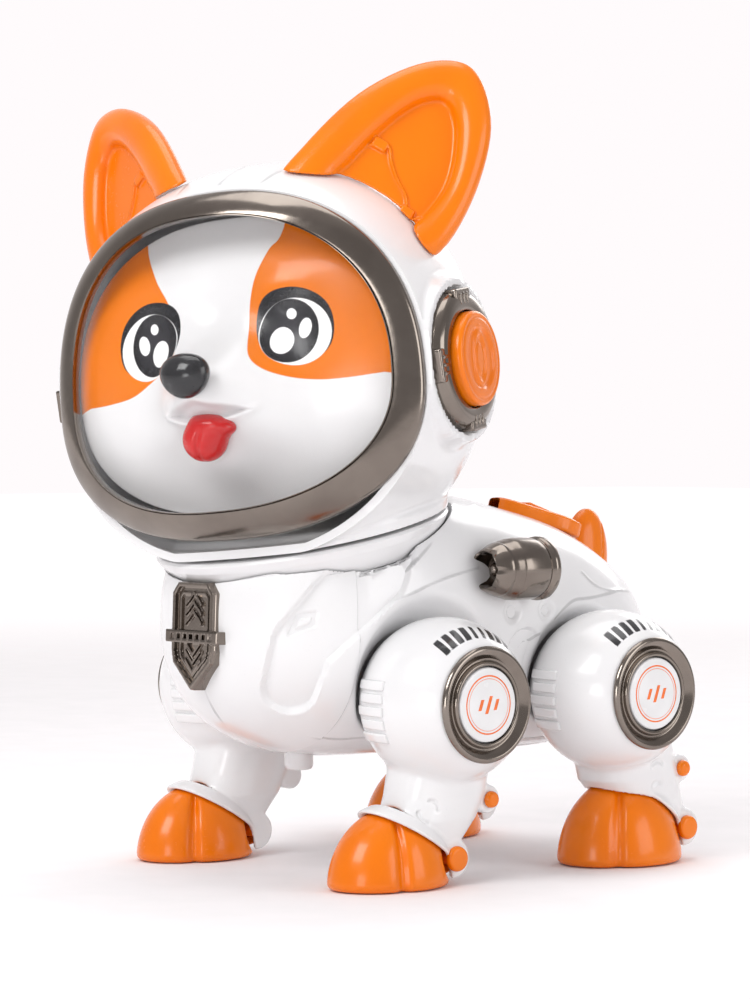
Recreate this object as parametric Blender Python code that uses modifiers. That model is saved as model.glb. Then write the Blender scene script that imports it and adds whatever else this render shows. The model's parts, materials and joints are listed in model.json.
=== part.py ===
"""Walking robot dog toy with a turning helmeted head, four driven legs and hinged paws.

Every size below is in millimetres and becomes metres when a mesh is made.  +Z is up,
the dog looks along -Y and its left side is +X.  Each moving group hangs on an empty
that stands on the joint's axis.
"""

from math import cos, exp, pi, radians, sin, sqrt, tan

import bmesh
import bpy
from mathutils import Matrix, Vector

MM = 0.001
GAP = 0.3            # clearance left between touching pieces
WALL = 2.0           # moulded wall thickness
CENTRING = (3.2, 18.3)  # puts the bounding box's centre over the origin

# Legs: a ball in an arch, a shin below it and a paw hinged at the heel.
BALL_RADIUS = 23.2
ARCH_RADIUS = 24.2
HIP_X, HIP_Y, HIP_Z = 46.0, 32.0, 50.0
HUB_FLAT = 17.0      # distance of the ball's flat from its centre
PIN_RADIUS = 2.0
TONGUE_HALF = 4.2

# Neck: the head turns about an axis that leans forward.
NECK_LEAN = radians(12.3)
HEAD_TURN = radians(24.1)
HEAD_CENTRE = Vector((0.0, -54.0, 138.7))
NECK_AXIS = Vector((0.0, -sin(NECK_LEAN), cos(NECK_LEAN)))
NECK_DROP = 42.66    # from the head's centre down to the seam
NECK_RADIUS = 42.0
POST_RADIUS = 8.0

# Helmet and visor, measured from the head's centre.
HELMET_HALF, HELMET_TOP, HELMET_BOTTOM = 57.3, 61.0, 52.0
HELMET_Y, HELMET_FRONT, HELMET_BACK = 4.0, 60.7, 52.0
HELMET_WALL = 2.2
POD_FACE, POD_RING_RADIUS, POD_CAP_RADIUS, POD_BOSS_RADIUS = 63.8, 19.4, 13.0, 22.4
LENS_TIP = -62.0

# Gears, all of one module, turning about X.
GEAR_MODULE = 0.8
CRANK_TEETH, IDLER_TEETH, PINION_TEETH = 28, 24, 8
GEAR_PLAY = 0.1
CRANK_AT = Vector((0.0, 14.0, 67.0))
IDLER_ANGLE = radians(166.0)    # from the crank to the idler, in the YZ plane
PINION_ANGLE = radians(157.0)   # from the idler to the pinion

# Three AAA cells lie side by side in the belly.
CELL_RADIUS, CELL_LENGTH, CELL_PITCH, CELL_Z, CELL_Y = 5.25, 44.5, 11.0, 44.2, 18.5

COLOURS = {
    "white": ((0.86, 0.86, 0.87), 0.3, 0.0),
    "orange": ((0.95, 0.24, 0.01), 0.35, 0.0),
    "gunmetal": ((0.22, 0.19, 0.16), 0.3, 1.0),
    "clear": ((0.9, 0.95, 1.0), 0.05, 0.0),
    "black": ((0.01, 0.01, 0.012), 0.15, 0.0),
    "red": ((0.75, 0.01, 0.01), 0.25, 0.0),
    "steel": ((0.55, 0.56, 0.58), 0.3, 1.0),
    "board": ((0.02, 0.2, 0.08), 0.5, 0.0),
    "acetal": ((0.75, 0.74, 0.68), 0.4, 0.0),
    "cell": ((0.1, 0.1, 0.11), 0.35, 0.2),
}

for old in list(bpy.data.objects):
    bpy.data.objects.remove(old)
parts = bpy.data.collections.new("robot_dog_toy")
cutters = bpy.data.collections.new("cutters")
bpy.context.scene.collection.children.link(parts)
bpy.context.scene.collection.children.link(cutters)


# ---------------------------------------------------------------- building blocks

def frame(name, at, turn=None, parent=None):
    """An empty on a joint's axis, in millimetres from its parent."""
    empty = bpy.data.objects.new(name, None)
    parts.objects.link(empty)
    empty.parent = parent
    empty.matrix_local = Matrix.Translation(Vector(at) * MM) @ (turn or Matrix())
    return empty


def material(name, kind):
    colour, roughness, metallic = COLOURS[kind]
    made = bpy.data.materials.new(name)
    made.use_nodes = True
    shader = made.node_tree.nodes["Principled BSDF"]
    shader.inputs["Base Color"].default_value = (*colour, 1.0)
    shader.inputs["Roughness"].default_value = roughness
    shader.inputs["Metallic"].default_value = metallic
    made.diffuse_color = (*colour, 1.0)
    return made


def thing(name, data, kind=None, at=(0, 0, 0), turn=None, parent=None):
    """A named part of a kind of material, or a cutter when no kind is given."""
    made = bpy.data.objects.new(name, data)
    (parts if kind else cutters).objects.link(made)
    made.parent = parent
    made.matrix_local = Matrix.Translation(Vector(at) * MM) @ (turn or Matrix())
    if kind:
        data.materials.append(material(name, kind))
    else:
        made.hide_render = True
        made.display_type = "WIRE"
    return made


def carve(target, *tools, operation="DIFFERENCE"):
    for tool in tools:
        change = target.modifiers.new(tool.name, "BOOLEAN")
        change.operation = operation
        change.object = tool
    return target


def join(target, *tools):
    return carve(target, *tools, operation="UNION")


def tidy(target, angle=1.0):
    """Merges the flat slivers that the cuts leave into whole faces."""
    merge = target.modifiers.new("flat_faces", "DECIMATE")
    merge.decimate_type = "DISSOLVE"
    merge.angle_limit = radians(angle)
    return target


def mesh_of(name, bm, bent=False):
    """The finished mesh in metres; one with bent quads is split into triangles."""
    bmesh.ops.scale(bm, vec=(MM, MM, MM), verts=bm.verts)
    if bent:
        bmesh.ops.triangulate(bm, faces=bm.faces)
    bmesh.ops.recalc_face_normals(bm, faces=bm.faces)
    if bm.calc_volume(signed=True) < 0:
        bmesh.ops.reverse_faces(bm, faces=bm.faces)
    mesh = bpy.data.meshes.new(name)
    bm.to_mesh(mesh)
    bm.free()
    mesh.shade_smooth()
    mesh.set_sharp_from_angle(angle=radians(35))
    return mesh


def block(name, size, kind=None, **place):
    bm = bmesh.new()
    bmesh.ops.create_cube(bm, size=1.0, matrix=Matrix.Diagonal((*size, 1.0)))
    return thing(name, mesh_of(name, bm), kind, **place)


def rod(name, radius, start, end, kind=None, axis="X", segments=14, **place):
    """A cylinder along an axis from one station to another."""
    turn = {"X": Matrix.Rotation(pi / 2, 4, "Y"), "Y": Matrix.Rotation(-pi / 2, 4, "X"),
            "Z": Matrix()}[axis]
    middle = Matrix.Translation((0, 0, (start + end) / 2))
    bm = bmesh.new()
    bmesh.ops.create_cone(bm, cap_ends=True, segments=segments, radius1=radius,
                          radius2=radius, depth=end - start, matrix=turn @ middle)
    return thing(name, mesh_of(name, bm), kind, **place)


def ball(name, radii, kind=None, segments=18, rings=9, **place):
    bm = bmesh.new()
    bmesh.ops.create_uvsphere(bm, u_segments=segments, v_segments=rings, radius=1.0,
                              matrix=Matrix.Diagonal((*radii, 1.0)))
    return thing(name, mesh_of(name, bm), kind, **place)


def loft(name, rings, kind=None, hoop=False, **place):
    """Joins rings of points with quads, capped at both ends or closed into a hoop."""
    bm = bmesh.new()
    rows = [[bm.verts.new(point) for point in ring] for ring in rings]
    pairs = list(zip(rows, rows[1:])) + ([(rows[-1], rows[0])] if hoop else [])
    for near, far in pairs:
        for i, start in enumerate(near):
            j = (i + 1) % len(near)
            bm.faces.new((start, near[j], far[j], far[i]))
    if not hoop:
        bm.faces.new(rows[0])
        bm.faces.new(rows[-1])
    return thing(name, mesh_of(name, bm, bent=True), kind, **place)


def turned(name, profile, kind=None, steps=16, **place):
    """A profile of (radius, height) turned about Z; its outer side runs downwards."""
    closed = profile[0][0] > 0
    mesh = bpy.data.meshes.new(name)
    points = [(radius * MM, 0.0, height * MM) for radius, height in profile]
    edges = [(i, i + 1) for i in range(len(points) - 1)]
    mesh.from_pydata(points, edges + ([(len(points) - 1, 0)] if closed else []), [])
    made = thing(name, mesh, kind, **place)
    screw = made.modifiers.new("turn", "SCREW")
    screw.steps = screw.render_steps = steps
    screw.use_merge_vertices = True
    screw.merge_threshold = 0.00001
    return made


def plate(name, outline, thickness, kind=None, edge=0.0, **place):
    """A flat outline in XY, thick along Z and rounded at its edge."""
    curve = bpy.data.curves.new(name, "CURVE")
    curve.dimensions = "2D"
    curve.fill_mode = "BOTH"
    curve.extrude = (thickness / 2 - edge) * MM
    curve.bevel_depth = edge * MM
    curve.bevel_resolution = 1
    curve.offset = -edge * MM
    curve.render_resolution_u = 0
    spline = curve.splines.new("POLY")
    spline.points.add(len(outline) - 1)
    for point, (x, y) in zip(spline.points, outline):
        point.co = (x * MM, y * MM, 0.0, 1.0)
    spline.use_cyclic_u = True
    drawn = thing(name + "_outline", curve)
    bpy.context.view_layer.update()
    mesh = bpy.data.meshes.new_from_object(drawn.evaluated_get(bpy.context.evaluated_depsgraph_get()))
    bpy.data.objects.remove(drawn)
    bm = bmesh.new()
    bm.from_mesh(mesh)
    bmesh.ops.remove_doubles(bm, verts=bm.verts, dist=1e-6)
    bmesh.ops.scale(bm, vec=(1 / MM,) * 3, verts=bm.verts)
    return thing(name, mesh_of(name, bm), kind, **place)


def superellipse(half, top, bottom, exponent, count, upper=None):
    """Points (x, z) round an oval whose upper and lower halves may differ."""
    points = []
    for i in range(count):
        angle = 2 * pi * (i + 0.5) / count
        c, s = cos(angle), sin(angle)
        power = 2 / (upper if upper and s > 0 else exponent)
        x = half * abs(c) ** power * (1 if c > 0 else -1)
        z = (top if s > 0 else -bottom) * abs(s) ** power
        points.append((x, z))
    return points


def round_outline(corners, steps=4):
    """A closed outline through hand-set corners, eased with Catmull-Rom arcs."""
    outline = []
    count = len(corners)
    for i in range(count):
        p0, p1, p2, p3 = (Vector(corners[(i + k) % count]) for k in (-1, 0, 1, 2))
        for j in range(steps):
            t = j / steps
            point = 0.5 * (2 * p1 + (p2 - p0) * t + (2 * p0 - 5 * p1 + 4 * p2 - p3) * t * t
                           + (3 * p1 - p0 - 3 * p2 + p3) * t ** 3)
            outline.append((point.x, point.y))
    return outline


def swing(angle, axis):
    return Matrix.Rotation(angle, 4, axis)


def side_name(side):
    return "left" if side > 0 else "right"


# ---------------------------------------------------------------- torso

# Station along the body: y, half width, belly height, back height, upper roundness.
TORSO_STATIONS = (
    (-81.5, 10.0, 61.0, 82.0, 2.2), (-78.0, 22.0, 50.0, 92.0, 2.4), (-70.0, 31.0, 41.0, 99.0, 2.8),
    (-56.0, 38.0, 34.5, 105.0, 3.2), (-40.0, 41.0, 32.0, 107.5, 3.2), (-20.0, 41.0, 31.5, 108.0, 3.0),
    (0.0, 39.0, 31.0, 107.0, 2.6), (20.0, 38.0, 31.0, 103.5, 2.3), (40.0, 37.0, 31.5, 98.5, 2.2),
    (55.0, 33.0, 34.0, 91.5, 2.2), (67.0, 25.0, 40.5, 83.0, 2.2), (75.0, 14.0, 49.5, 74.0, 2.2),
    (78.0, 7.0, 55.0, 69.0, 2.2),
)
TORSO_POINTS = 24


def torso_rings(grow):
    """The body's sections, all moved out by grow, or in when it is negative."""
    rings = []
    middle = len(TORSO_STATIONS) / 2
    for i, (y, half, low, high, upper) in enumerate(TORSO_STATIONS):
        centre = (low + high) / 2
        tall = (high - low) / 2 + grow
        shift = grow if i >= middle else -grow
        shift *= min(1.0, abs(i + 0.5 - middle) / 4)
        rings.append([(x, y + shift, centre + z) for x, z in
                      superellipse(half + grow, tall, tall, 2.2, TORSO_POINTS, upper)])
    return rings


BODY = frame("torso_frame", (CENTRING[0], CENTRING[1], 0.0))
NECK_TILT = swing(NECK_LEAN, "X")
NECK = frame("neck_frame", HEAD_CENTRE - NECK_AXIS * NECK_DROP, NECK_TILT, BODY)

torso_wall = loft("torso_outside", torso_rings(0.0), parent=BODY)
torso_core = loft("torso_inside", torso_rings(-WALL), parent=BODY)
torso_skin = loft("torso_clearance", torso_rings(GAP), parent=BODY)
for side in (1, -1):
    for end in (-1, 1):
        place = {"at": (side * HIP_X, end * HIP_Y, HIP_Z), "parent": BODY}
        tag = f"{side_name(side)}_{'front' if end < 0 else 'rear'}"
        carve(torso_core, ball("arch_wall_" + tag, (ARCH_RADIUS + WALL,) * 3, **place))
        carve(torso_wall, ball("arch_" + tag, (ARCH_RADIUS,) * 3, **place))
carve(torso_wall, torso_core)
for tag, y in (("front", -HIP_Y), ("rear", HIP_Y)):
    for side in (1, -1):
        carve(torso_wall, rod(f"axle_hole_{side_name(side)}_{tag}", 4.7, -8.3, 8.3, segments=18,
                              at=(side * 22.7, y, HIP_Z), parent=BODY))

neck_cut = turned("neck_seat", [(0, 30), (90, 30), (90, -0.9), (NECK_RADIUS + 0.6, -0.9),
                                (NECK_RADIUS + 0.6, -2.0), (35.8, -10.2), (0, -10.2)], parent=NECK)
carve(torso_wall, neck_cut)
tidy(torso_wall, 0.2)

# The back panel lies in a frame on the sloping back.
BACK_SLOPE = radians(-18.0)
BACK = frame("back_frame", (0, 43.0, 98.0), swing(BACK_SLOPE, "X"), BODY)
PANEL_CORNERS = [(-3.5, -14.5), (3.5, -14.5), (9.5, -3.0), (12.5, 6.0), (8.5, 12.5),
                 (-8.5, 12.5), (-12.5, 6.0), (-9.5, -3.0)]
PANEL_THICK = 5.0
panel_outline = round_outline(PANEL_CORNERS, 3)
panel_hole = plate("panel_hole", [(x * 1.03, y * 1.03) for x, y in panel_outline], 12.0, parent=BACK)
BUTTON_SIZE = (7.0, 13.0, 5.0)

# The belly door is a piece of the belly itself.
DOOR_HALF, DOOR_START, DOOR_END = 17.0, -7.0, 47.0
door_middle = (DOOR_START + DOOR_END) / 2
door_hole = block("door_hole", (2 * DOOR_HALF + 2 * GAP, DOOR_END - DOOR_START + 2 * GAP, 20.0),
                  at=(0, door_middle, 32.0), parent=BODY)
POWER_AT = (0.0, -46.0, 0.0)
power_hole = rod("power_hole", 4.5, 20.0, 45.0, axis="Z", at=POWER_AT, parent=BODY)

# The tail stands on a pin square to the back.
TAIL_SLOPE = radians(-33.0)
TAIL = frame("tail_frame", (0, 64.5, 85.7), swing(TAIL_SLOPE, "X"), BODY)
tail_hole = rod("tail_hole", 2.8, -20.0, 10.0, axis="Z", parent=TAIL)

for side in (1, -1):
    half_space = block("torso_shell_" + side_name(side), (90.0, 200.0, 150.0), "white",
                       at=(side * (45.0 + GAP / 2), 0, 60.0), parent=BODY)
    carve(half_space, torso_wall, operation="INTERSECT")
    carve(half_space, door_hole, power_hole, panel_hole, tail_hole)
    tidy(half_space)

battery_door = block("battery_door", (2 * DOOR_HALF, DOOR_END - DOOR_START, 12.8), "white",
                     at=(0, door_middle, 30.4), parent=BODY)
carve(battery_door, torso_wall, operation="INTERSECT")
SCREW_AT = (0.0, DOOR_START + 4.0, 0.0)
carve(battery_door, rod("door_screw_hole", 1.8, 20.0, 45.0, axis="Z", segments=12,
                        at=SCREW_AT, parent=BODY))
turned("door_screw", [(0, 36.6), (1.4, 36.6), (1.4, 30.8), (2.8, 30.8), (2.8, 29.4), (0, 29.4)],
       "steel", steps=12, at=SCREW_AT, parent=BODY)

turned("power_button", [(0, 39.0), (5.6, 39.0), (5.6, 37.2), (4.1, 37.2), (4.1, 29.6),
                        (3.3, 28.6), (0, 28.6)], "white", steps=20, at=POWER_AT, parent=BODY)

turned("neck_collar", [(9.2, -0.7), (NECK_RADIUS - 0.6, -0.7), (NECK_RADIUS, -1.6), (35.2, -9.8),
                       (33.2, -9.8), (39.0, -2.9), (9.2, -2.9)], "white", parent=NECK)
turned("neck_post", [(POST_RADIUS, -3.3), (13.0, -3.3), (13.0, -5.4), (POST_RADIUS, -5.6),
                     (POST_RADIUS, -12.0), (5.5, -12.0), (5.5, 9.0), (POST_RADIUS - 1, 9.0),
                     (10.2, 5.0), (10.2, 3.6), (POST_RADIUS, 3.4)], "acetal", parent=NECK)

back_panel = plate("back_panel", panel_outline, PANEL_THICK, "orange", edge=0.8, parent=BACK)
carve(back_panel, block("mode_hole", (BUTTON_SIZE[0] + 2 * GAP, BUTTON_SIZE[1] + 2 * GAP, 20.0),
                        at=(0, 2.0, 0), parent=BACK))
block("mode_button", BUTTON_SIZE, "orange", at=(0, 2.0, 1.9), parent=BACK)

tail = ball("tail", (4.8, 7.0, 16.0), "orange", 14, 8, at=(0, 1.5, 0), parent=TAIL,
            turn=swing(radians(28), "X"))
carve(tail, block("tail_base", (60.0, 60.0, 40.0), at=(0, 0, -19.4), parent=TAIL))
join(tail, rod("tail_pin", 2.4, -7.0, 3.0, axis="Z", segments=14, parent=TAIL))

SHIELD = [(-6.6, 15.0), (6.6, 15.0), (9.2, 12.0), (9.2, 1.7), (11.8, 1.4), (11.8, -1.9), (9.2, -2.2),
          (8.4, -7.5), (0.0, -15.0), (-8.4, -7.5), (-9.2, -2.3), (-11.8, -2.0), (-11.8, 1.5),
          (-9.2, 1.8), (-9.2, 12.0)]
badge = plate("chest_badge", SHIELD, 12.0, "gunmetal", at=(0, -78.4, 67.5), parent=BODY,
              turn=swing(radians(88), "X"))
carve(badge, torso_skin)

for side in (1, -1):
    jet = turned("thruster_" + side_name(side),
                 [(0, 8.8), (1.8, 8.2), (2.6, 6.0), (4.4, 6.0), (5.0, 11.3), (5.6, 11.5), (7.0, 8.6),
                  (8.5, 4.0), (8.9, -2.0), (8.6, -7.5), (9.1, -8.0), (9.0, -10.0), (7.4, -10.6),
                  (0, -10.6)],
                 "gunmetal", steps=16, at=(side * 42.0, -2.0, 85.5), parent=BODY,
                 turn=swing(pi / 2, "X"))
    carve(jet, torso_skin)


# ---------------------------------------------------------------- inside the torso

box_length = CELL_LENGTH + 2.4
case_half = 1.5 * CELL_PITCH + 0.3 + 1.3
battery_box = block("battery_box", (2 * case_half, box_length + 3.0, 13.0), "black",
                    at=(0, CELL_Y, 45.0), parent=BODY)
carve(battery_box, block("cell_bay", (2 * case_half - 2.6, box_length, 13.0),
                         at=(0, CELL_Y, 43.6), parent=BODY))
for i in range(3):
    tip = rod(f"cell_nub_{i + 1}", 1.9, CELL_LENGTH / 2 - 2.0, CELL_LENGTH / 2, axis="Y", segments=10,
              at=((i - 1) * CELL_PITCH, CELL_Y, CELL_Z), parent=BODY)
    cell = rod(f"battery_cell_{i + 1}", CELL_RADIUS, -CELL_LENGTH / 2, CELL_LENGTH / 2 - 1.0, "cell",
               axis="Y", segments=16, at=((i - 1) * CELL_PITCH, CELL_Y, CELL_Z), parent=BODY)
    join(cell, tip)

turned("speaker", [(0, 43.5), (5.0, 43.5), (5.0, 41.5), (11.5, 39.0), (11.5, 37.4), (10.5, 37.4),
                   (0, 39.5)], "steel", steps=20, at=(0, -25.5, 0), parent=BODY)
block("circuit_board", (26.0, 26.0, 1.6), "board", at=(0, 44.0, 73.0), parent=BODY)

FRAME_HALF, FRAME_SKIN = 14.0, 2.0
gear_frame = block("gear_frame", (2 * FRAME_HALF, 56.0, 34.0), "acetal", at=(0, 0.0, 69.5), parent=BODY)
carve(gear_frame, block("gear_bay", (2 * (FRAME_HALF - FRAME_SKIN), 70.0, 40.0),
                        at=(0, 0.0, 74.5), parent=BODY))


def gear_point(start, angle, teeth_a, teeth_b):
    """The centre of a gear meshing with another, seen along X from the first."""
    reach = GEAR_MODULE * (teeth_a + teeth_b) / 2 + GEAR_PLAY
    return start + Vector((0.0, reach * cos(angle), reach * sin(angle)))


def gear(name, teeth, width, towards, gap_there, kind, centre, parent):
    """A spur wheel about X with a tooth, or a gap, pointing towards an angle in YZ."""
    pitch_radius = GEAR_MODULE * teeth / 2
    step = 2 * pi / teeth
    start = towards + (step / 2 if gap_there else 0.0)
    outline = []
    for i in range(teeth):
        for share, reach in ((-0.30, -1.15), (-0.11, 0.8), (0.11, 0.8), (0.30, -1.15)):
            angle = start + (i + share) * step
            radius = pitch_radius + reach * GEAR_MODULE
            outline.append((radius * cos(angle), radius * sin(angle)))
    # The plate's X and Y become the wheel's Y and Z.
    stand = Matrix(((0, 0, 1, 0), (1, 0, 0, 0), (0, 1, 0, 0), (0, 0, 0, 1)))
    return plate(name, outline, width, kind, at=centre, turn=stand, parent=parent)


idler_at = gear_point(CRANK_AT, IDLER_ANGLE, CRANK_TEETH, IDLER_TEETH)
pinion_at = gear_point(idler_at, PINION_ANGLE, IDLER_TEETH, PINION_TEETH)
GEAR_PLANE = Vector((7.0, 0.0, 0.0))
crank = gear("crankshaft", CRANK_TEETH, 4.0, IDLER_ANGLE, False, "acetal", CRANK_AT + GEAR_PLANE, BODY)
idler_facing = IDLER_ANGLE + pi
idler = gear("idler_gear", IDLER_TEETH, 4.0, idler_facing, True, "acetal", idler_at + GEAR_PLANE, BODY)
# The pinion's phase follows from where the idler's teeth stand on the line between them.
idler_phase = ((PINION_ANGLE - idler_facing) / (2 * pi / IDLER_TEETH) - 0.5) % 1.0
pinion_facing = PINION_ANGLE + pi + (0.5 + idler_phase) * 2 * pi / PINION_TEETH
pinion = gear("motor_pinion", PINION_TEETH, 5.0, pinion_facing, False, "steel", pinion_at + GEAR_PLANE, BODY)
for wheel, name, radius, start, end, centre in (
        (crank, "crank_axle", PIN_RADIUS, -17.0, 17.0, CRANK_AT),
        (idler, "idler_axle", 1.5, 4.0, 13.8, idler_at),
        (pinion, "motor_shaft", 1.0, 1.0, 13.8, pinion_at)):
    join(wheel, rod(name, radius, start, end, segments=12, at=centre, parent=BODY))
    carve(gear_frame, rod(name + "_bearing", radius + 0.25, -20.0 if wheel is crank else 5.0, 20.0,
                          segments=12, at=centre, parent=BODY))
for side in (1, -1):
    web = rod("crank_web_" + side_name(side), 6.5, side * 16.3 - 1.2, side * 16.3 + 1.2, at=CRANK_AT,
              parent=BODY)
    throw = rod("crank_throw_" + side_name(side), 1.4, side * 17.8 - 1.7, side * 17.8 + 1.7, segments=10,
                at=CRANK_AT + Vector((0, 0, side * 4.5)), parent=BODY)
    join(crank, web, throw)
motor = rod("drive_motor", 7.5, -11.7, 3.5, "steel", at=pinion_at, parent=BODY)
carve(motor, rod("motor_bearing", 1.3, 0.0, 5.0, segments=12, at=pinion_at, parent=BODY))


# ---------------------------------------------------------------- legs

class LegShape:
    """Sizes of one pair of legs, measured from the ball's centre."""

    def __init__(self, paw_y, paw_radii, ankle, knee, shin):
        self.paw_y = paw_y
        self.paw_radii = paw_radii
        self.ankle = ankle
        self.knee = knee
        self.shin = shin    # sections: height, front, back, half width


FRONT_LEG = LegShape(-17.8, (14.0, 18.6, 21.3), (-1.0, -42.8), (12.4, -27.5),
                     ((-10.0, -13.0, 14.0, 11.5), (-20.0, -14.5, 14.5, 11.0), (-26.0, -16.0, 13.5, 10.5),
                      (-32.0, -18.0, 10.0, 10.5), (-38.0, -14.0, 5.0, 9.0), (-41.0, -8.0, 3.5, 8.5)))
REAR_LEG = LegShape(6.0, (16.0, 20.0, 24.3), (24.5, -40.7), (23.5, -23.5),
                    ((-8.0, -10.0, 19.5, 12.0), (-18.0, -8.0, 22.5, 11.5), (-26.0, -6.0, 25.0, 11.0),
                     (-32.0, 0.0, 26.5, 10.5), (-38.0, 10.0, 28.0, 9.0), (-41.0, 18.0, 28.0, 8.5)))
SHIN_X = -2.5        # shin and paw stand a little inside the ball's centre


def make_leg(side, end):
    shape = FRONT_LEG if end < 0 else REAR_LEG
    tag = ("front_" if end < 0 else "rear_") + side_name(side)
    hip = frame("hip_" + tag, (side * HIP_X, end * HIP_Y, HIP_Z), parent=BODY)
    heel = frame("heel_" + tag, (side * SHIN_X, shape.ankle[0], shape.ankle[1]), parent=hip)
    outward = swing(side * pi / 2, "Y")

    leg = ball("leg_" + tag, (BALL_RADIUS,) * 3, "white", 16, 8, parent=hip)
    sections = []
    for height, front, back, half in shape.shin:
        middle, reach = (front + back) / 2, (back - front) / 2
        sections.append([(side * SHIN_X + x, middle + y, height) for x, y in
                         superellipse(half, reach, reach, 2.6, 12)])
    boss_half = 8.6
    join(leg, loft("shin_" + tag, sections, parent=hip),
         rod("ankle_boss_" + tag, 5.3, -boss_half, boss_half, parent=heel),
         rod("knee_boss_" + tag, 3.4, -8.0, 8.0, segments=12,
             at=(side * SHIN_X, *shape.knee), parent=hip),
         rod("hip_axle_" + tag, 4.0, -3.4, 3.4, at=(-side * 23.5, 0, 0), parent=hip))
    hollow = ball("ball_hollow_" + tag, (BALL_RADIUS - WALL,) * 3, segments=12, rings=6, parent=hip)
    face = block("ball_flat_" + tag, (20.0, 60.0, 60.0), at=(side * (HUB_FLAT + 10.0), 0, 0), parent=hip)
    hub_hole = rod("hub_hole_" + tag, 13.8, -15.0, 15.0, at=(side * 16.0, 0, 0), parent=hip, segments=22)
    slot = rod("ankle_slot_" + tag, 6.4, -TONGUE_HALF - 0.5, TONGUE_HALF + 0.5, parent=heel)
    bore = rod("ankle_bore_" + tag, PIN_RADIUS + GAP, -12.0, 12.0, segments=14, parent=heel)
    paw_room = ball("paw_room_" + tag, [r + 0.6 for r in shape.paw_radii],
                    at=(side * SHIN_X, shape.paw_y, -HIP_Z), parent=hip)
    carve(leg, hollow, face, hub_hole, paw_room, slot, bore)
    tidy(leg)

    turned("hub_ring_" + tag,
           [(15.0, 19.0), (16.0, 18.2), (15.9, HUB_FLAT + GAP), (13.5, HUB_FLAT + GAP), (13.5, 15.0),
            (10.6, 15.0), (10.6, 18.3), (11.3, 18.3), (11.9, 17.7)],
           "gunmetal", parent=hip, turn=outward)
    turned("hub_badge_" + tag, [(0, 18.6), (9.6, 18.4), (10.2, 18.0), (10.2, 14.6), (0, 14.6)], "white",
           parent=hip, turn=outward)
    turned("knee_cap_" + tag, [(0, 2.4), (1.6, 2.2), (2.3, 1.4), (2.3, 0.5), (0, 0.5)], "orange",
           steps=12, at=(side * (SHIN_X + 8.0), *shape.knee), parent=hip, turn=outward)
    turned("ankle_pin_" + tag,
           [(0, 11.2), (2.6, 11.0), (4.0, 10.0), (4.0, 8.9), (PIN_RADIUS, 8.9), (PIN_RADIUS, -8.4),
            (0, -8.4)], "orange", steps=12, parent=heel, turn=outward)

    paw = ball("paw_" + tag, shape.paw_radii, "orange", 20, 10,
               at=(0, shape.paw_y - shape.ankle[0], -HIP_Z - shape.ankle[1]), parent=heel)
    under = block("ground_" + tag, (80.0, 80.0, 40.0), at=(0, 0, -HIP_Z - shape.ankle[1] - 20.0), parent=heel)
    boss_room = rod("boss_room_" + tag, 5.9, -20.0, 20.0, parent=heel)
    tongue = rod("tongue_" + tag, 4.6, -TONGUE_HALF, TONGUE_HALF, segments=16, parent=heel)
    strap = block("strap_" + tag, (2 * TONGUE_HALF - 1.0, 9.0, 5.0), at=(0, -4.6, -1.0), parent=heel)
    pin_room = rod("pin_room_" + tag, PIN_RADIUS + 0.25, -9.0, 9.0, segments=14, parent=heel)
    carve(paw, under, boss_room)
    join(paw, tongue, strap)
    carve(paw, pin_room)


for side in (1, -1):
    for end in (-1, 1):
        make_leg(side, end)


# ---------------------------------------------------------------- head

HEAD = frame("head_frame", HEAD_CENTRE, Matrix.Rotation(HEAD_TURN, 4, NECK_AXIS), BODY)
SEAM = frame("helmet_seam", -NECK_AXIS * NECK_DROP, NECK_TILT, HEAD)
HEAD_POINTS = 26


def visor_outline(half, top, bottom, centre_z, y, bow, tilt, grow=0.0, count=HEAD_POINTS):
    """An oval outline in the head's front; its sides bend back by bow and it leans by tilt."""
    return [(x, y + bow * x * x / 50 + tan(tilt) * z, centre_z + z) for x, z in
            superellipse(half + grow, top + grow, bottom + grow, 2.3, count)]


RIM_OUTER = {"half": 56.7, "top": 54.75, "bottom": 40.35, "centre_z": -4.6, "y": -30.3, "bow": 0.13,
             "tilt": 0.0}
RIM_INNER = {"half": 49.6, "top": 45.9, "bottom": 34.1, "centre_z": -3.0, "y": -40.4, "bow": 0.25,
             "tilt": radians(2.4)}


def helmet_rings(grow, front):
    """Sections of the helmet from a front station to its back."""
    stations = [front, -24.0, -16.0, -6.0, HELMET_Y]
    turns = (0.3, 0.6, 0.85, 1.1, 1.3, 1.45)
    stations += [HELMET_Y + HELMET_BACK * sin(a) for a in turns]
    rings = []
    for y in stations:
        if y <= HELMET_Y:
            size, top = 1.0, HELMET_TOP * sqrt(1 - ((y - HELMET_Y) / HELMET_FRONT) ** 2)
        else:
            size = sqrt(1 - ((y - HELMET_Y) / HELMET_BACK) ** 2)
            top = HELMET_TOP * size
        bow = 0.13 * max(0.0, (HELMET_Y - y) / (HELMET_Y + 30.0))
        back = grow * max(0.0, (y - HELMET_Y) / HELMET_BACK)
        rings.append([(x, y + back + bow * x * x / 50, z) for x, z in
                      superellipse(HELMET_HALF * size + grow, top + grow, HELMET_BOTTOM * size + grow,
                                   2.2, HEAD_POINTS)])
    return rings


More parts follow.
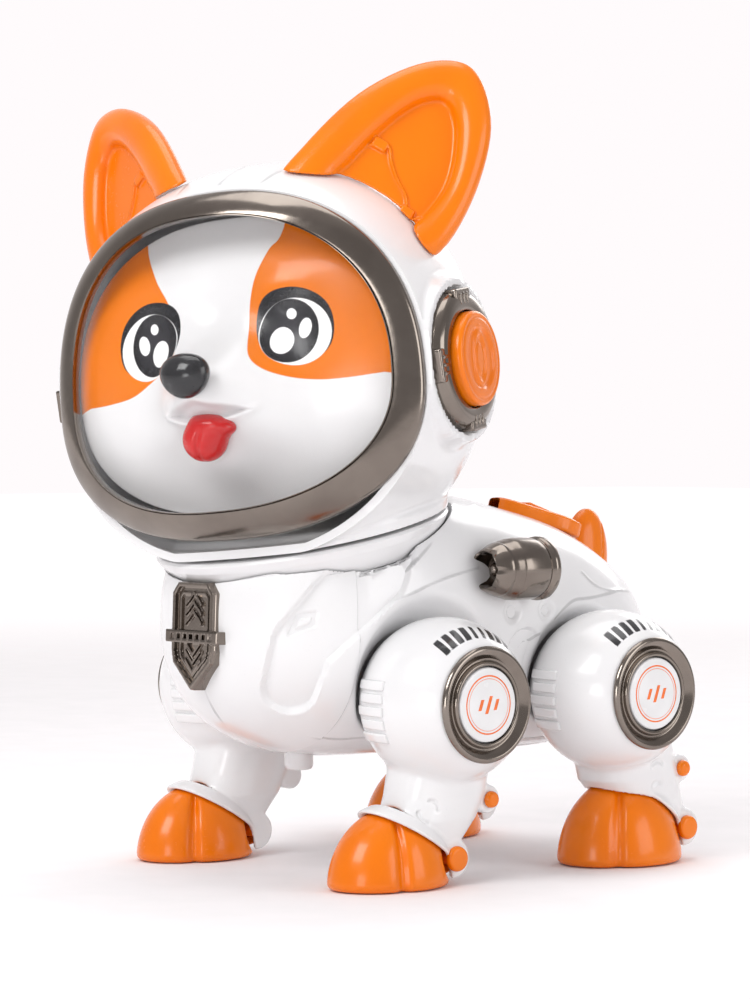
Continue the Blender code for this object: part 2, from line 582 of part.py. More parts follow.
helmet = loft("helmet_shell", helmet_rings(0.0, -29.6), "white", parent=HEAD)
skirt = turned("helmet_skirt", [(0, 7.0), (39.5, 7.0), (NECK_RADIUS + 0.4, 3.0), (NECK_RADIUS, 0.3),
                                (0, 0.3)], parent=SEAM)
below = block("below_helmet", (200.0, 200.0, 40.0), at=(0, 0, 0.3 - 20.0), parent=SEAM)
cavity = loft("helmet_inside", helmet_rings(-HELMET_WALL, -45.0), parent=HEAD)
carve(cavity, block("helmet_floor", (200.0, 200.0, 40.0), at=(0, 0, 2.6 - 20.0), parent=SEAM))
rim_room = loft("rim_room", [visor_outline(**{**RIM_OUTER, "y": y}, grow=0.6) for y in (-30.0, -60.0)],
                parent=HEAD)
join(helmet, skirt)
for side in (1, -1):
    join(helmet, rod("pod_boss_" + side_name(side), POD_BOSS_RADIUS, -6.0, 6.0, segments=22,
                     at=(side * 51.4, 0, 0), parent=HEAD))
carve(helmet, below, cavity, rim_room,
      rod("post_hole", POST_RADIUS + 0.6, -10.0, 10.0, axis="Z", parent=SEAM))
for side in (1, -1):
    carve(helmet, rod("pod_pocket_" + side_name(side), POD_RING_RADIUS + 0.4, -5.0, 5.0, segments=22,
                      at=(side * 61.1, 0, 0), parent=HEAD))
    outward = swing(side * pi / 2, "Y")
    turned("pod_ring_" + side_name(side),
           [(17.6, 60.0), (19.2, 59.4), (POD_RING_RADIUS, 56.5), (14.2, 56.5), (14.2, 58.6)],
           "gunmetal", parent=HEAD, turn=outward)
    turned("pod_cap_" + side_name(side),
           [(0, 62.6), (8.0, 62.8), (9.0, POD_FACE), (11.4, POD_FACE), (POD_CAP_RADIUS, 62.6),
            (POD_CAP_RADIUS, 57.2), (0, 57.2)], "orange", steps=20, parent=HEAD, turn=outward)
tidy(helmet)

outer_back = visor_outline(**RIM_OUTER)
outer_front = visor_outline(**{**RIM_OUTER, "y": -32.0})
inner_front = visor_outline(**RIM_INNER)
inner_back = visor_outline(**{**RIM_INNER, "y": -37.2})
middle_back = visor_outline(**{**RIM_OUTER, "half": 52.5, "top": 50.5, "bottom": 36.5})
loft("visor_ring", [outer_front, inner_front, inner_back, middle_back, outer_back], "gunmetal", hoop=True,
     parent=HEAD)


def bowl(front, depth):
    """Rings over a bowl's front, rim to middle, and over its back, ready for one loft."""
    back = [[(x, y + depth, z) for x, y, z in ring] for ring in front]
    return front[::-1] + back


def dome(edge, tip, power, count):
    """Rings from an edge outline shrinking to a domed front."""
    levels = [1.0 - i / count for i in range(count)] + [0.08]
    return [[(x * s, tip + (y - tip) * s ** power, z * s) for x, y, z in edge] for s in levels]


lens_edge = visor_outline(**{**RIM_INNER, "y": -39.6}, grow=-GAP - 0.2)
loft("visor_lens", bowl(dome(lens_edge, LENS_TIP, 2.2, 3), 1.2), "clear", parent=HEAD)


def face_depth(x, z, level):
    """The mask's front: a shallow dome with a muzzle standing out of it."""
    muzzle = 19.0 * exp(-((x / 14.0) ** 2 + ((z + 6.0) / 13.0) ** 2))
    return -18.0 - 14.0 * (1 - level ** 2.5) - muzzle


def face_rings(forward, back):
    """Rings over the mask's front and its back, which stands a wall or more behind it."""
    edge = visor_outline(**RIM_INNER, grow=-2.6, count=20)
    levels = (1.0, 0.8, 0.6, 0.45, 0.32, 0.2, 0.1)
    front = [[(x * s, face_depth(x * s, z * s, s) - forward, z * s) for x, _, z in edge]
             for s in levels]
    return bowl(front, back)


loft("face_mask", face_rings(0.0, WALL), "white", parent=HEAD)
face_skin = loft("face_clearance", face_rings(GAP, 14.0), parent=HEAD)
carve(ball("nose", (7.1, 5.2, 6.1), "black", 14, 8, at=(0, -52.2, -0.8), parent=HEAD), face_skin)
tongue_piece = ball("tongue", (6.4, 7.0, 6.6), "red", 14, 8, at=(0, -40.5, -17.5), parent=HEAD)
carve(tongue_piece, face_skin)

# Ears stand on the helmet; their plane is set by the ear's length and the way it faces.
EAR_ROOT = Vector((35.4, -7.4, 46.4))
EAR_UP = Vector((19.6, 20.4, 37.6)).normalized()
EAR_FACING = Vector((0.505, -0.841, 0.1926)).normalized()
EAR_CORNERS = [(-22.6, -10.0), (-22.4, 4.0), (-17.4, 25.0), (-7.8, 41.2), (3.0, 48.4), (12.0, 45.0),
               (20.5, 33.6), (25.6, 14.0), (24.8, -4.0), (14.0, -12.0), (-8.0, -14.0)]
EAR_DISH = [(-7.5, 8.0), (-5.3, 20.6), (-1.7, 30.8), (4.0, 35.6), (10.0, 31.2), (15.8, 20.7),
            (17.4, 12.5), (13.0, 3.0), (2.0, 1.0)]
helmet_skin = loft("helmet_clearance", helmet_rings(0.4, -29.6), parent=HEAD)


def ear_matrix(side):
    up = Vector((side * EAR_UP.x, EAR_UP.y, EAR_UP.z))
    facing = Vector((side * EAR_FACING.x, EAR_FACING.y, EAR_FACING.z))
    facing = (facing - up * facing.dot(up)).normalized()
    across = up.cross(facing)
    return Matrix((across, up, facing)).transposed().to_4x4()


for side in (1, -1):
    root = (side * EAR_ROOT.x, EAR_ROOT.y, EAR_ROOT.z)
    stand = ear_matrix(side)
    outline = [(side * x, y) for x, y in round_outline(EAR_CORNERS, 2)]
    dish = [(side * x, y) for x, y in round_outline(EAR_DISH, 1)]
    ear = plate("ear_" + side_name(side), outline, 8.0, "orange", edge=2.6, at=root, turn=stand,
                parent=HEAD)
    hollow = plate("ear_dish_" + side_name(side), dish, 8.0, turn=stand, parent=HEAD,
                   at=Vector(root) + stand.to_3x3() @ Vector((0, 0, 5.2)))
    carve(ear, hollow, helmet_skin)
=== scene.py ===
"""Robot dog toy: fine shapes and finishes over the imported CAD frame.

Sizes are in millimetres in the dog's own frame: the origin lies on the floor midway
between the four hips, the dog looks along -Y and its left side is +X.
"""

import json
import logging
import math
from dataclasses import dataclass, field
from enum import Enum
from typing import Callable, Sequence

import bmesh
import bpy
import numpy as np
from mathutils import Matrix, Vector


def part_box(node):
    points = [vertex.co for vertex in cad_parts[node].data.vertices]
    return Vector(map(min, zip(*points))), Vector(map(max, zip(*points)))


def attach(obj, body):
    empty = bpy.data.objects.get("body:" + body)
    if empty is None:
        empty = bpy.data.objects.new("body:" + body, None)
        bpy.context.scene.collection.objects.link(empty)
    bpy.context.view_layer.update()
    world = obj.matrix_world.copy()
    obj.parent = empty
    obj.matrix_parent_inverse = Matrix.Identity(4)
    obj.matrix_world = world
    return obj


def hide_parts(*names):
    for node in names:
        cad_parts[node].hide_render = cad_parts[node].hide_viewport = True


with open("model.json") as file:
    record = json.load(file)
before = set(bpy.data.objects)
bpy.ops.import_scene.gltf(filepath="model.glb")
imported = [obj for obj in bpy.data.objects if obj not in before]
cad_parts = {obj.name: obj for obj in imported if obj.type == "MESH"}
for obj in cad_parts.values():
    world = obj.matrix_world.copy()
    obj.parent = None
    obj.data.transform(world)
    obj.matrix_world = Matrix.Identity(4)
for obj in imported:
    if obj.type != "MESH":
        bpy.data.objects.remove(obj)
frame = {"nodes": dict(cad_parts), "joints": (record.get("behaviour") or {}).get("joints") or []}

log = logging.getLogger("robot_dog")
MM = 0.001
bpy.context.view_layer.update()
JOINTS = {j["name"]: np.array(j["pos_m"]) / MM for j in frame["joints"] if "pos_m" in j}
TAGS = ("front_left", "front_right", "rear_left", "rear_right")
ORIGIN = np.mean([JOINTS["hip_" + tag] for tag in TAGS], axis=0) * (1.0, 1.0, 0.0)

Array = np.ndarray
Socket = bpy.types.NodeSocket
Value = Socket | float
Colour = Socket | tuple
Distance = Callable[[Array], Array]


def joint_at(name: str) -> Array:
    """A joint's centre in the dog's frame."""
    return JOINTS[name] - ORIGIN


# ------------------------------------------------------------------ finishes


class Slot(Enum):
    """The record's material slots."""

    WHITE = "white_shell"
    ORANGE = "orange_shell"
    METAL = "metallised_trim"
    CLEAR = "clear_visor"
    BLACK = "black_gloss"
    RED = "red_gloss"
    BADGE = "white_badge"
    STEEL = "steel"


class Sketch:
    """Short calls for drawing one material's nodes."""

    def __init__(self, name: str) -> None:
        """Starts an empty material.

        Args:
            name: the material's name.
        """
        self.material = bpy.data.materials.new(name)
        self.material.use_nodes = True
        self.tree = self.material.node_tree
        self.tree.nodes.clear()
        coordinates = self.add("ShaderNodeTexCoord").outputs["Object"]
        self.place = self.add("ShaderNodeMapping", {"Vector": coordinates,
                                                    "Location": (0.0, 0.0, -0.11)}).outputs[0]

    def add(self, kind: str, inputs: dict | None = None, **settings) -> bpy.types.Node:
        """Adds a node.

        Args:
            kind: the node's type name.
            inputs: values or sockets by input name or number.
            **settings: the node's own properties.

        Returns:
            The node.
        """
        node = self.tree.nodes.new(kind)
        for key, value in settings.items():
            setattr(node, key, value)
        for key, value in (inputs or {}).items():
            if isinstance(value, bpy.types.NodeSocket):
                self.tree.links.new(value, node.inputs[key])
            else:
                node.inputs[key].default_value = value
        return node

    def noise(self, scale: float, detail: float = 3.0, stretch: tuple = (1.0, 1.0, 1.0)) -> Socket:
        """A noise value, scale cells to the metre.

        Args:
            scale: cells to the metre.
            detail: octaves.
            stretch: a factor along each axis.

        Returns:
            The value's socket.
        """
        where = self.add("ShaderNodeMapping", {"Vector": self.place, "Scale": stretch}).outputs[0]
        return self.add("ShaderNodeTexNoise", {"Vector": where, "Scale": scale,
                                               "Detail": detail}).outputs["Fac"]

    def spread(self, value: Value, low: float, high: float, to_low: float, to_high: float,
               soft: bool = False) -> Socket:
        """Maps a value from one range to another, clamped.

        Args:
            value: the socket to map.
            low: where the input range starts.
            high: where it ends.
            to_low: the result at low.
            to_high: the result at high.
            soft: eases both ends.

        Returns:
            The result's socket.
        """
        kind = "SMOOTHSTEP" if soft else "LINEAR"
        return self.add("ShaderNodeMapRange", {0: value, 1: low, 2: high, 3: to_low, 4: to_high},
                        interpolation_type=kind).outputs[0]

    def blend(self, share: Value, first: Colour, second: Colour) -> Socket:
        """Mixes two colours by a share of the second one."""
        return self.add("ShaderNodeMix", {0: share, 6: first, 7: second},
                        data_type="RGBA").outputs[2]

    def times(self, first: Value, second: Value) -> Socket:
        """Multiplies two values."""
        return self.add("ShaderNodeMath", {0: first, 1: second}, operation="MULTIPLY").outputs[0]

    def plus(self, first: Value, second: Value) -> Socket:
        """Adds two values."""
        return self.add("ShaderNodeMath", {0: first, 1: second}, operation="ADD").outputs[0]

    def attribute(self, name: str) -> Socket:
        """A value kept on the mesh."""
        return self.add("ShaderNodeAttribute", attribute_name=name).outputs["Fac"]

    def bump(self, height: Socket, strength: float, depth: float) -> Socket:
        """A bumped normal.

        Args:
            height: the height's socket.
            strength: the bump's share.
            depth: the height of a full step in metres.

        Returns:
            The normal's socket.
        """
        return self.add("ShaderNodeBump", {"Height": height, "Strength": strength,
                                           "Distance": depth}).outputs["Normal"]

    def finish(self, inputs: dict) -> bpy.types.Material:
        """Ends the sketch with one principled surface.

        Args:
            inputs: the surface's inputs.

        Returns:
            The material.
        """
        surface = self.add("ShaderNodeBsdfPrincipled", inputs).outputs[0]
        self.add("ShaderNodeOutputMaterial", {"Surface": surface})
        return self.material


@dataclass(frozen=True)
class Plastic:
    """Moulded plastic: a faint flow pattern, tiny specks and an orange-peel skin, and painted shade along
    seam lines if asked.
    """

    name: str
    colour: tuple
    deep: tuple
    roughness: float = 0.22
    coat: float = 0.35
    peel: float = 0.06
    seam_shaded: bool = False
    inked: bool = False
    ior: float = 1.5

    def build(self) -> bpy.types.Material:
        """Draws the material."""
        s = Sketch(self.name)
        flow = s.noise(34.0, 4.0, (1.0, 1.0, 0.6))
        fine = s.noise(900.0, 2.0)
        colour = s.blend(s.spread(flow, 0.35, 0.72, 0.0, 1.0, True), (*self.colour, 1.0), (*self.deep, 1.0))
        speck = s.spread(s.noise(2600.0, 1.0), 0.73, 0.8, 0.0, 0.35)
        colour = s.blend(speck, colour, tuple(0.72 * c for c in self.deep) + (1.0,))
        height = s.plus(s.noise(420.0, 2.0), s.times(fine, 0.35))
        # Painted shade: the colour darkens along the moulded seam lines, standing in for the shade inside
        # their grooves.
        if self.seam_shaded:
            near = s.attribute("seam")
            colour = s.blend(s.spread(near, 0.25, 0.75, 0.5, 0.0, True), colour,
                             tuple(0.42 * c for c in self.deep) + (1.0,))
        if self.inked:
            ink = s.spread(s.attribute("ink"), -0.12, 0.12, 1.0, 0.0, True)
            colour = s.blend(ink, colour, s.blend(fine, (0.01, 0.01, 0.012, 1.0), (0.03, 0.03, 0.033, 1.0)))
        rough = s.spread(s.plus(flow, s.times(fine, 0.5)), 0.4, 1.1, self.roughness - 0.04,
                         self.roughness + 0.05)
        return s.finish({"Base Color": colour, "Roughness": rough, "IOR": self.ior,
                         "Coat Weight": self.coat, "Coat Roughness": 0.06,
                         "Normal": s.bump(height, self.peel, 0.0004)})


@dataclass(frozen=True)
class Metallised:
    """Vacuum-metallised plastic: a smoky mirror with fine drag marks."""

    name: str
    colour: tuple
    deep: tuple
    roughness: float = 0.2

    def build(self) -> bpy.types.Material:
        """Draws the material."""
        s = Sketch(self.name)
        cloud = s.noise(48.0, 4.0)
        drag = s.noise(500.0, 3.0, (1.0, 0.15, 1.0))
        colour = s.blend(s.spread(cloud, 0.3, 0.75, 0.0, 1.0, True), (*self.colour, 1.0), (*self.deep, 1.0))
        rough = s.spread(s.plus(cloud, s.times(drag, 0.6)), 0.45, 1.2, self.roughness - 0.05,
                         self.roughness + 0.09)
        return s.finish({"Base Color": colour, "Metallic": 1.0, "Roughness": rough,
                         "Normal": s.bump(drag, 0.05, 0.0003)})


@dataclass(frozen=True)
class Clear:
    """Clear visor plastic: nearly unseen head on, brighter towards its edges."""

    name: str

    def build(self) -> bpy.types.Material:
        """Draws the material."""
        s = Sketch(self.name)
        facing = s.add("ShaderNodeLayerWeight", {"Blend": 0.32}).outputs["Facing"]
        haze = s.noise(22.0, 4.0, (1.0, 1.0, 0.4))
        wipe = s.noise(240.0, 3.0, (1.0, 1.0, 0.08))
        alpha = s.plus(s.spread(facing, 0.5, 1.0, 0.008, 0.26, True),
                       s.spread(haze, 0.55, 0.8, 0.0, 0.01))
        colour = s.blend(s.spread(haze, 0.3, 0.8, 0.0, 1.0), (0.86, 0.88, 0.9, 1.0),
                         (0.95, 0.95, 0.96, 1.0))
        return s.finish({"Base Color": colour, "Roughness": s.spread(wipe, 0.3, 0.8, 0.02, 0.08),
                         "IOR": 1.49, "Alpha": alpha, "Normal": s.bump(wipe, 0.02, 0.0002)})


@dataclass(frozen=True)
class Sweep:
    """A matt white floor that fades into an even glow away from the toy."""

    name: str
    near: float = 0.3
    far: float = 1.5

    def build(self) -> bpy.types.Material:
        """Draws the material."""
        s = Sketch(self.name)
        grain = s.noise(60.0, 3.0)
        where = s.add("ShaderNodeTexCoord", {}).outputs["Object"]
        reach = s.add("ShaderNodeVectorMath", {0: where}, operation="LENGTH")
        away = s.spread(reach.outputs["Value"], self.near, self.far, 0.0, 1.0, True)
        pale = s.blend(s.spread(grain, 0.3, 0.7, 0.0, 1.0), (0.93, 0.91, 0.92, 1.0),
                       (0.9, 0.885, 0.893, 1.0))
        colour = s.blend(away, pale, (0.0, 0.0, 0.0, 1.0))
        glow = s.blend(away, (0.0, 0.0, 0.0, 1.0), (1.0, 0.965, 0.975, 1.0))
        return s.finish({"Base Color": colour, "Roughness": s.spread(grain, 0.3, 0.7, 0.72, 0.8),
                         "Specular IOR Level": 0.1, "Emission Color": glow, "Emission Strength": 1.0,
                         "Normal": s.bump(grain, 0.02, 0.0004)})


@dataclass(frozen=True)
class FacePaint:
    """White mask plastic with orange patches and black and white eyes, sprayed through stencils, and
    painted shade in the mouth.
    """

    name: str
    white: tuple
    orange: tuple
    black: tuple
    edge: float = 0.14

    def build(self) -> bpy.types.Material:
        """Draws the material."""
        s = Sketch(self.name)
        flow = s.noise(40.0, 4.0)
        wobble = s.times(s.spread(s.noise(1500.0, 2.0), 0.0, 1.0, -0.5, 0.5), 0.12)

        def stencil(name: str) -> Socket:
            """The share of one paint, from its outline's signed distance."""
            return s.spread(s.plus(s.attribute(name), wobble), -self.edge, self.edge, 1.0, 0.0, True)

        white = s.blend(s.spread(flow, 0.35, 0.7, 0.0, 1.0), (*self.white, 1.0),
                        tuple(0.95 * c for c in self.white) + (1.0,))
        orange = s.blend(s.spread(flow, 0.3, 0.7, 0.0, 1.0), (*self.orange, 1.0),
                         tuple(0.86 * c for c in self.orange) + (1.0,))
        black = s.blend(s.spread(s.noise(700.0), 0.4, 0.7, 0.0, 1.0), (*self.black, 1.0),
                        tuple(2.2 * c for c in self.black) + (1.0,))
        iris = s.blend(s.spread(s.attribute("iris"), -6.0, -0.2, 0.0, 1.0), (0.035, 0.034, 0.04, 1.0),
                       black)
        colour = s.blend(stencil("patch"), white, orange)
        colour = s.blend(s.times(s.spread(s.attribute("patch"), -2.5, 0.0, 0.0, 0.16, True),
                                 stencil("patch")), colour, tuple(0.8 * c for c in self.orange) + (1.0,))
        colour = s.blend(stencil("eye"), colour, black)
        colour = s.blend(stencil("sclera"), colour, (0.93, 0.93, 0.93, 1.0))
        colour = s.blend(stencil("iris"), colour, iris)
        colour = s.blend(stencil("glint"), colour, (0.96, 0.96, 0.96, 1.0))
        # Painted shade: the mouth's slot is tinted a darker grey-pink, standing in for the shade inside the
        # shallow mouth.
        shade = s.spread(s.attribute("mouth"), -0.8, 0.4, 0.5, 0.0, True)
        colour = s.blend(shade, colour, (0.5, 0.46, 0.47, 1.0))
        height = s.plus(s.noise(420.0), s.times(stencil("eye"), 0.3))
        return s.finish({"Base Color": colour, "Roughness": s.spread(flow, 0.3, 0.7, 0.2, 0.27),
                         "Coat Weight": 0.15, "Coat Roughness": 0.05, "IOR": 1.4,
                         "Normal": s.bump(height, 0.07, 0.0004)})


@dataclass(frozen=True)
class HubPaint:
    """White badge plastic with two printed rings and a plain three-bar motif."""

    name: str
    white: tuple
    ink: tuple

    def build(self) -> bpy.types.Material:
        """Draws the material."""
        s = Sketch(self.name)
        flow = s.noise(120.0, 4.0)
        white = s.blend(s.spread(flow, 0.3, 0.7, 0.0, 1.0), (*self.white, 1.0),
                        tuple(0.93 * c for c in self.white) + (1.0,))
        ink = s.blend(s.spread(s.noise(900.0), 0.35, 0.7, 0.0, 1.0), (*self.ink, 1.0),
                      tuple(0.8 * c for c in self.ink) + (1.0,))
        share = s.spread(s.attribute("print"), -0.06, 0.06, 1.0, 0.0, True)
        height = s.plus(s.noise(700.0), share)
        return s.finish({"Base Color": s.blend(share, white, ink),
                         "Roughness": s.spread(flow, 0.3, 0.8, 0.2, 0.3), "Coat Weight": 0.4,
                         "Coat Roughness": 0.05, "Normal": s.bump(height, 0.05, 0.0003)})


class Palette:
    """Every finish of the toy, made once."""

    WHITE_COLOUR = (0.83, 0.83, 0.835)
    ORANGE_COLOUR = (0.89, 0.205, 0.0)

    def __init__(self) -> None:
        """Builds all the materials."""
        white, orange, black = self.WHITE_COLOUR, self.ORANGE_COLOUR, (0.008, 0.008, 0.01)
        self.white = Plastic("white_gloss", white, (0.8, 0.8, 0.81)).build()
        self.shell = Plastic("white_gloss_seam_shaded", white, (0.8, 0.8, 0.81), seam_shaded=True).build()
        self.leg = Plastic("white_gloss_printed", white, (0.8, 0.8, 0.81), inked=True).build()
        self.orange = Plastic("orange_gloss", orange, (0.83, 0.175, 0.0), 0.24, 0.2, ior=1.38).build()
        self.black = Plastic("black_gloss", black, (0.014, 0.014, 0.016), 0.16, 0.25, ior=1.42).build()
        self.red = Plastic("red_gloss", (0.66, 0.008, 0.006), (0.52, 0.005, 0.005), 0.2, 0.25,
                           ior=1.4).build()
        self.metal = Metallised("smoked_metal", (0.27, 0.235, 0.205), (0.2, 0.17, 0.148), 0.15).build()
        self.clear = Clear("visor_clear").build()
        self.face = FacePaint("face_paint", white, orange, black).build()
        self.hub = HubPaint("hub_print", white, (0.9, 0.16, 0.01)).build()
        self.case = Plastic("black_case", (0.02, 0.02, 0.022), (0.035, 0.035, 0.04), 0.5, 0.0, 0.3).build()
        self.board = Plastic("circuit_board", (0.01, 0.16, 0.06), (0.02, 0.24, 0.09), 0.45, 0.2,
                             0.3).build()
        self.acetal = Plastic("acetal", (0.72, 0.71, 0.64), (0.64, 0.63, 0.56), 0.42, 0.0).build()
        self.steel = Metallised("steel", (0.6, 0.6, 0.62), (0.48, 0.48, 0.5), 0.28).build()
        self.cell = Metallised("cell_can", (0.08, 0.08, 0.1), (0.3, 0.2, 0.08), 0.35).build()
        self.floor = Sweep("studio_floor").build()


# ------------------------------------------------------------------ meshing


def smooth_min(first: Array, second: Array, soft: float) -> Array:
    """The lower of two fields with a rounded joint.

    Args:
        first: one field.
        second: the other.
        soft: the joint's width in millimetres.

    Returns:
        The joined field.
    """
    share = np.clip(0.5 + 0.5 * (second - first) / soft, 0.0, 1.0)
    return second * (1 - share) + first * share - soft * share * (1 - share)


def smooth_max(first: Array, second: Array, soft: float) -> Array:
    """The higher of two fields with a rounded joint."""
    return -smooth_min(-first, -second, soft)


def step(value: Array, low: float, high: float) -> Array:
    """Eases from 0 to 1 between low and high."""
    t = np.clip((value - low) / (high - low), 0.0, 1.0)
    return t * t * (3 - 2 * t)


def eased(corners: Sequence, closed: bool = True, steps: int = 6) -> Array:
    """A smooth line through corners.

    Args:
        corners: the points it passes.
        closed: whether it is a loop.
        steps: points to each span.

    Returns:
        The line's points.
    """
    p = np.array(corners, float)
    wrapped = np.vstack([p[-1:], p, p[:2]]) if closed else np.vstack([p[:1], p, p[-1:]])
    t = np.linspace(0, 1, steps, endpoint=False)[:, None]
    spans = [0.5 * (2 * b + (c - a) * t + (2 * a - 5 * b + 4 * c - d) * t ** 2
                    + (3 * b - a - 3 * c + d) * t ** 3)
             for a, b, c, d in zip(wrapped, wrapped[1:], wrapped[2:], wrapped[3:])]
    line = np.vstack(spans)
    return line if closed else np.vstack([line, p[-1:]])


def line_distance(p: Array, line: Array, widths: Array | float = 0.0) -> Array:
    """The distance from points to a line, less the line's half width there.

    Args:
        p: points, in two or three dimensions.
        line: the line's points.
        widths: half widths along the line, or one for all of it.

    Returns:
        The distances.
    """
    widths = np.broadcast_to(widths, len(line))
    best = np.full(p.shape[:-1], 1e9)
    for a, b, wa, wb in zip(line, line[1:], widths, widths[1:]):
        run = b - a
        t = np.clip(((p - a) @ run) / max(run @ run, 1e-12), 0.0, 1.0)
        reach = np.linalg.norm(p - a - t[..., None] * run, axis=-1)
        best = np.minimum(best, reach - (wa + (wb - wa) * t))
    return best


def outline_distance(p: Array, outline: Array) -> Array:
    """The signed distance from points in a plane to a closed outline, negative inside."""
    loop = np.vstack([outline, outline[:1]])
    inside = np.zeros(p.shape[:-1], bool)
    x, y = p[..., 0], p[..., 1]
    for (ax, ay), (bx, by) in zip(loop, loop[1:]):
        if ay != by:
            crosses = (ay > y) != (by > y)
            inside ^= crosses & (x < (bx - ax) * (y - ay) / (by - ay) + ax)
    return np.where(inside, -1.0, 1.0) * line_distance(p, loop)


def ellipsoid(p: Array, centre: Sequence, radii: Sequence) -> Array:
    """The distance to an ellipsoid, close to true near its surface."""
    q = (p - np.array(centre)) / np.array(radii)
    near, far = np.linalg.norm(q, axis=-1), np.linalg.norm(q / np.array(radii), axis=-1)
    return near * (near - 1) / np.maximum(far, 1e-9)


def rod(p: Array, axis: int, centre: Sequence, radius: float, half: float, edge: float = 0.0) -> Array:
    """The distance to a rod along X, Y or Z.

    Args:
        p: the points.
        axis: the rod's axis number.
        centre: its middle.
        radius: its radius.
        half: half its length.
        edge: the rounding of its ends.

    Returns:
        The distances.
    """
    q = np.moveaxis(p - np.array(centre), -1, 0)
    across = np.hypot(*(q[k] for k in range(3) if k != axis)) - radius + edge
    along = np.abs(q[axis]) - half + edge
    return (np.minimum(np.maximum(across, along), 0)
            + np.hypot(np.maximum(across, 0), np.maximum(along, 0)) - edge)


def box(p: Array, centre: Sequence, halves: Sequence, edge: float = 0.0) -> Array:
    """The distance to a box with rounded edges."""
    q = np.abs(p - np.array(centre)) - np.array(halves) + edge
    return np.linalg.norm(np.maximum(q, 0), axis=-1) + np.minimum(q.max(-1), 0) - edge


def surface_net(distance: Distance, low: Sequence, high: Sequence, pitch: float) -> tuple[Array, Array]:
    """Meshes the zero surface of a distance field.

    Args:
        distance: the field, negative inside.
        low: the lowest corner of the space searched.
        high: its highest corner.
        pitch: the size of a cell.

    Returns:
        The points and the four-sided faces, facing outwards.
    """
    low = np.array(low, float)
    counts = np.ceil((np.array(high) - low) / pitch).astype(int) + 1
    axes = [low[k] + pitch * np.arange(counts[k]) for k in range(3)]
    values = distance(np.stack(np.meshgrid(*axes, indexing="ij"), -1))
    inside = values < 0
    n = counts - 1
    corners = [inside[i:n[0] + i, j:n[1] + j, k:n[2] + k].astype(np.int8)
               for i in (0, 1) for j in (0, 1) for k in (0, 1)]
    total = sum(corners)
    active = (total > 0) & (total < 8)
    number = np.full(active.shape, -1)
    number[active] = np.arange(active.sum())
    cells = np.argwhere(active)
    summed, hits = np.zeros((len(cells), 3)), np.zeros(len(cells))
    for axis in range(3):
        u, v = (axis + 1) % 3, (axis + 2) % 3
        for du in (0, 1):
            for dv in (0, 1):
                start = np.zeros(3, int)
                start[u], start[v] = du, dv
                end = start.copy()
                end[axis] = 1
                a, b = values[tuple((cells + start).T)], values[tuple((cells + end).T)]
                crosses = (a < 0) != (b < 0)
                share = np.where(crosses, a / np.where(crosses, a - b, 1.0), 0.0)
                summed += (start + share[:, None] * (end - start)) * crosses[:, None]
                hits += crosses
    points = low + pitch * (cells + summed / hits[:, None])
    faces = []
    for axis in range(3):
        u, v = (axis + 1) % 3, (axis + 2) % 3
        here = [slice(None)] * 3
        here[axis], here[u], here[v] = slice(0, n[axis]), slice(1, n[u]), slice(1, n[v])
        there = list(here)
        there[axis] = slice(1, n[axis] + 1)
        near, far = inside[tuple(here)], inside[tuple(there)]
        leaves, enters = near & ~far, ~near & far
        step_u, step_v = np.eye(3, dtype=int)[u], np.eye(3, dtype=int)[v]
        for change, order in ((leaves, (0, 1, 2, 3)), (enters, (3, 2, 1, 0))):
            edge = np.argwhere(change) + step_u + step_v
            corners = (edge - step_u - step_v, edge - step_v, edge, edge - step_u)
            quad = [number[tuple(c.T)] for c in corners]
            faces.append(np.stack([quad[i] for i in order], 1))
    tiny = 0.02
    for _ in range(3):
        value = distance(points)
        slope = np.stack([(distance(points + tiny * e) - distance(points - tiny * e)) / (2 * tiny)
                          for e in np.eye(3)], -1)
        move = (value / np.maximum((slope ** 2).sum(-1), 0.05))[:, None] * slope
        size = np.linalg.norm(move, axis=1, keepdims=True)
        points = points - move * np.minimum(1.0, 0.35 * pitch / np.maximum(size, 1e-9))
    return points, np.vstack(faces)


def loft(rows: Array) -> tuple[Array, Array]:
    """Joins rings of points into a closed skin.

    Args:
        rows: the rings, as an array of rings by points by three.

    Returns:
        The points and the faces; each end ring should shrink to a point or a line.
    """
    r, c = rows.shape[:2]
    i, j = np.meshgrid(np.arange(r - 1), np.arange(c), indexing="ij")
    k = (j + 1) % c
    quads = np.stack([i * c + j, i * c + k, (i + 1) * c + k, (i + 1) * c + j], -1).reshape(-1, 4)
    return rows.reshape(-1, 3), quads


def weld(points: Array, quads: Array) -> tuple[Array, list, Array]:
    """Merges points that coincide.

    Args:
        points: the points.
        quads: the faces.

    Returns:
        The kept points, the faces with no repeated corner and each kept point's old number.
    """
    key = np.round(points / 5e-4).astype(np.int64)
    _, first, back = np.unique(key, axis=0, return_index=True, return_inverse=True)
    back = back.reshape(-1)
    faces = []
    for face in back[quads].tolist():
        kept = [a for a, b in zip(face, face[1:] + face[:1]) if a != b]
        if len(set(kept)) == len(kept) > 2:
            faces.append(kept)
    return points[first], faces, first


@dataclass
class Body:
    """Where a piece rides and what it stands for."""

    name: str
    replaces: tuple = ()
    slot: Slot = Slot.WHITE


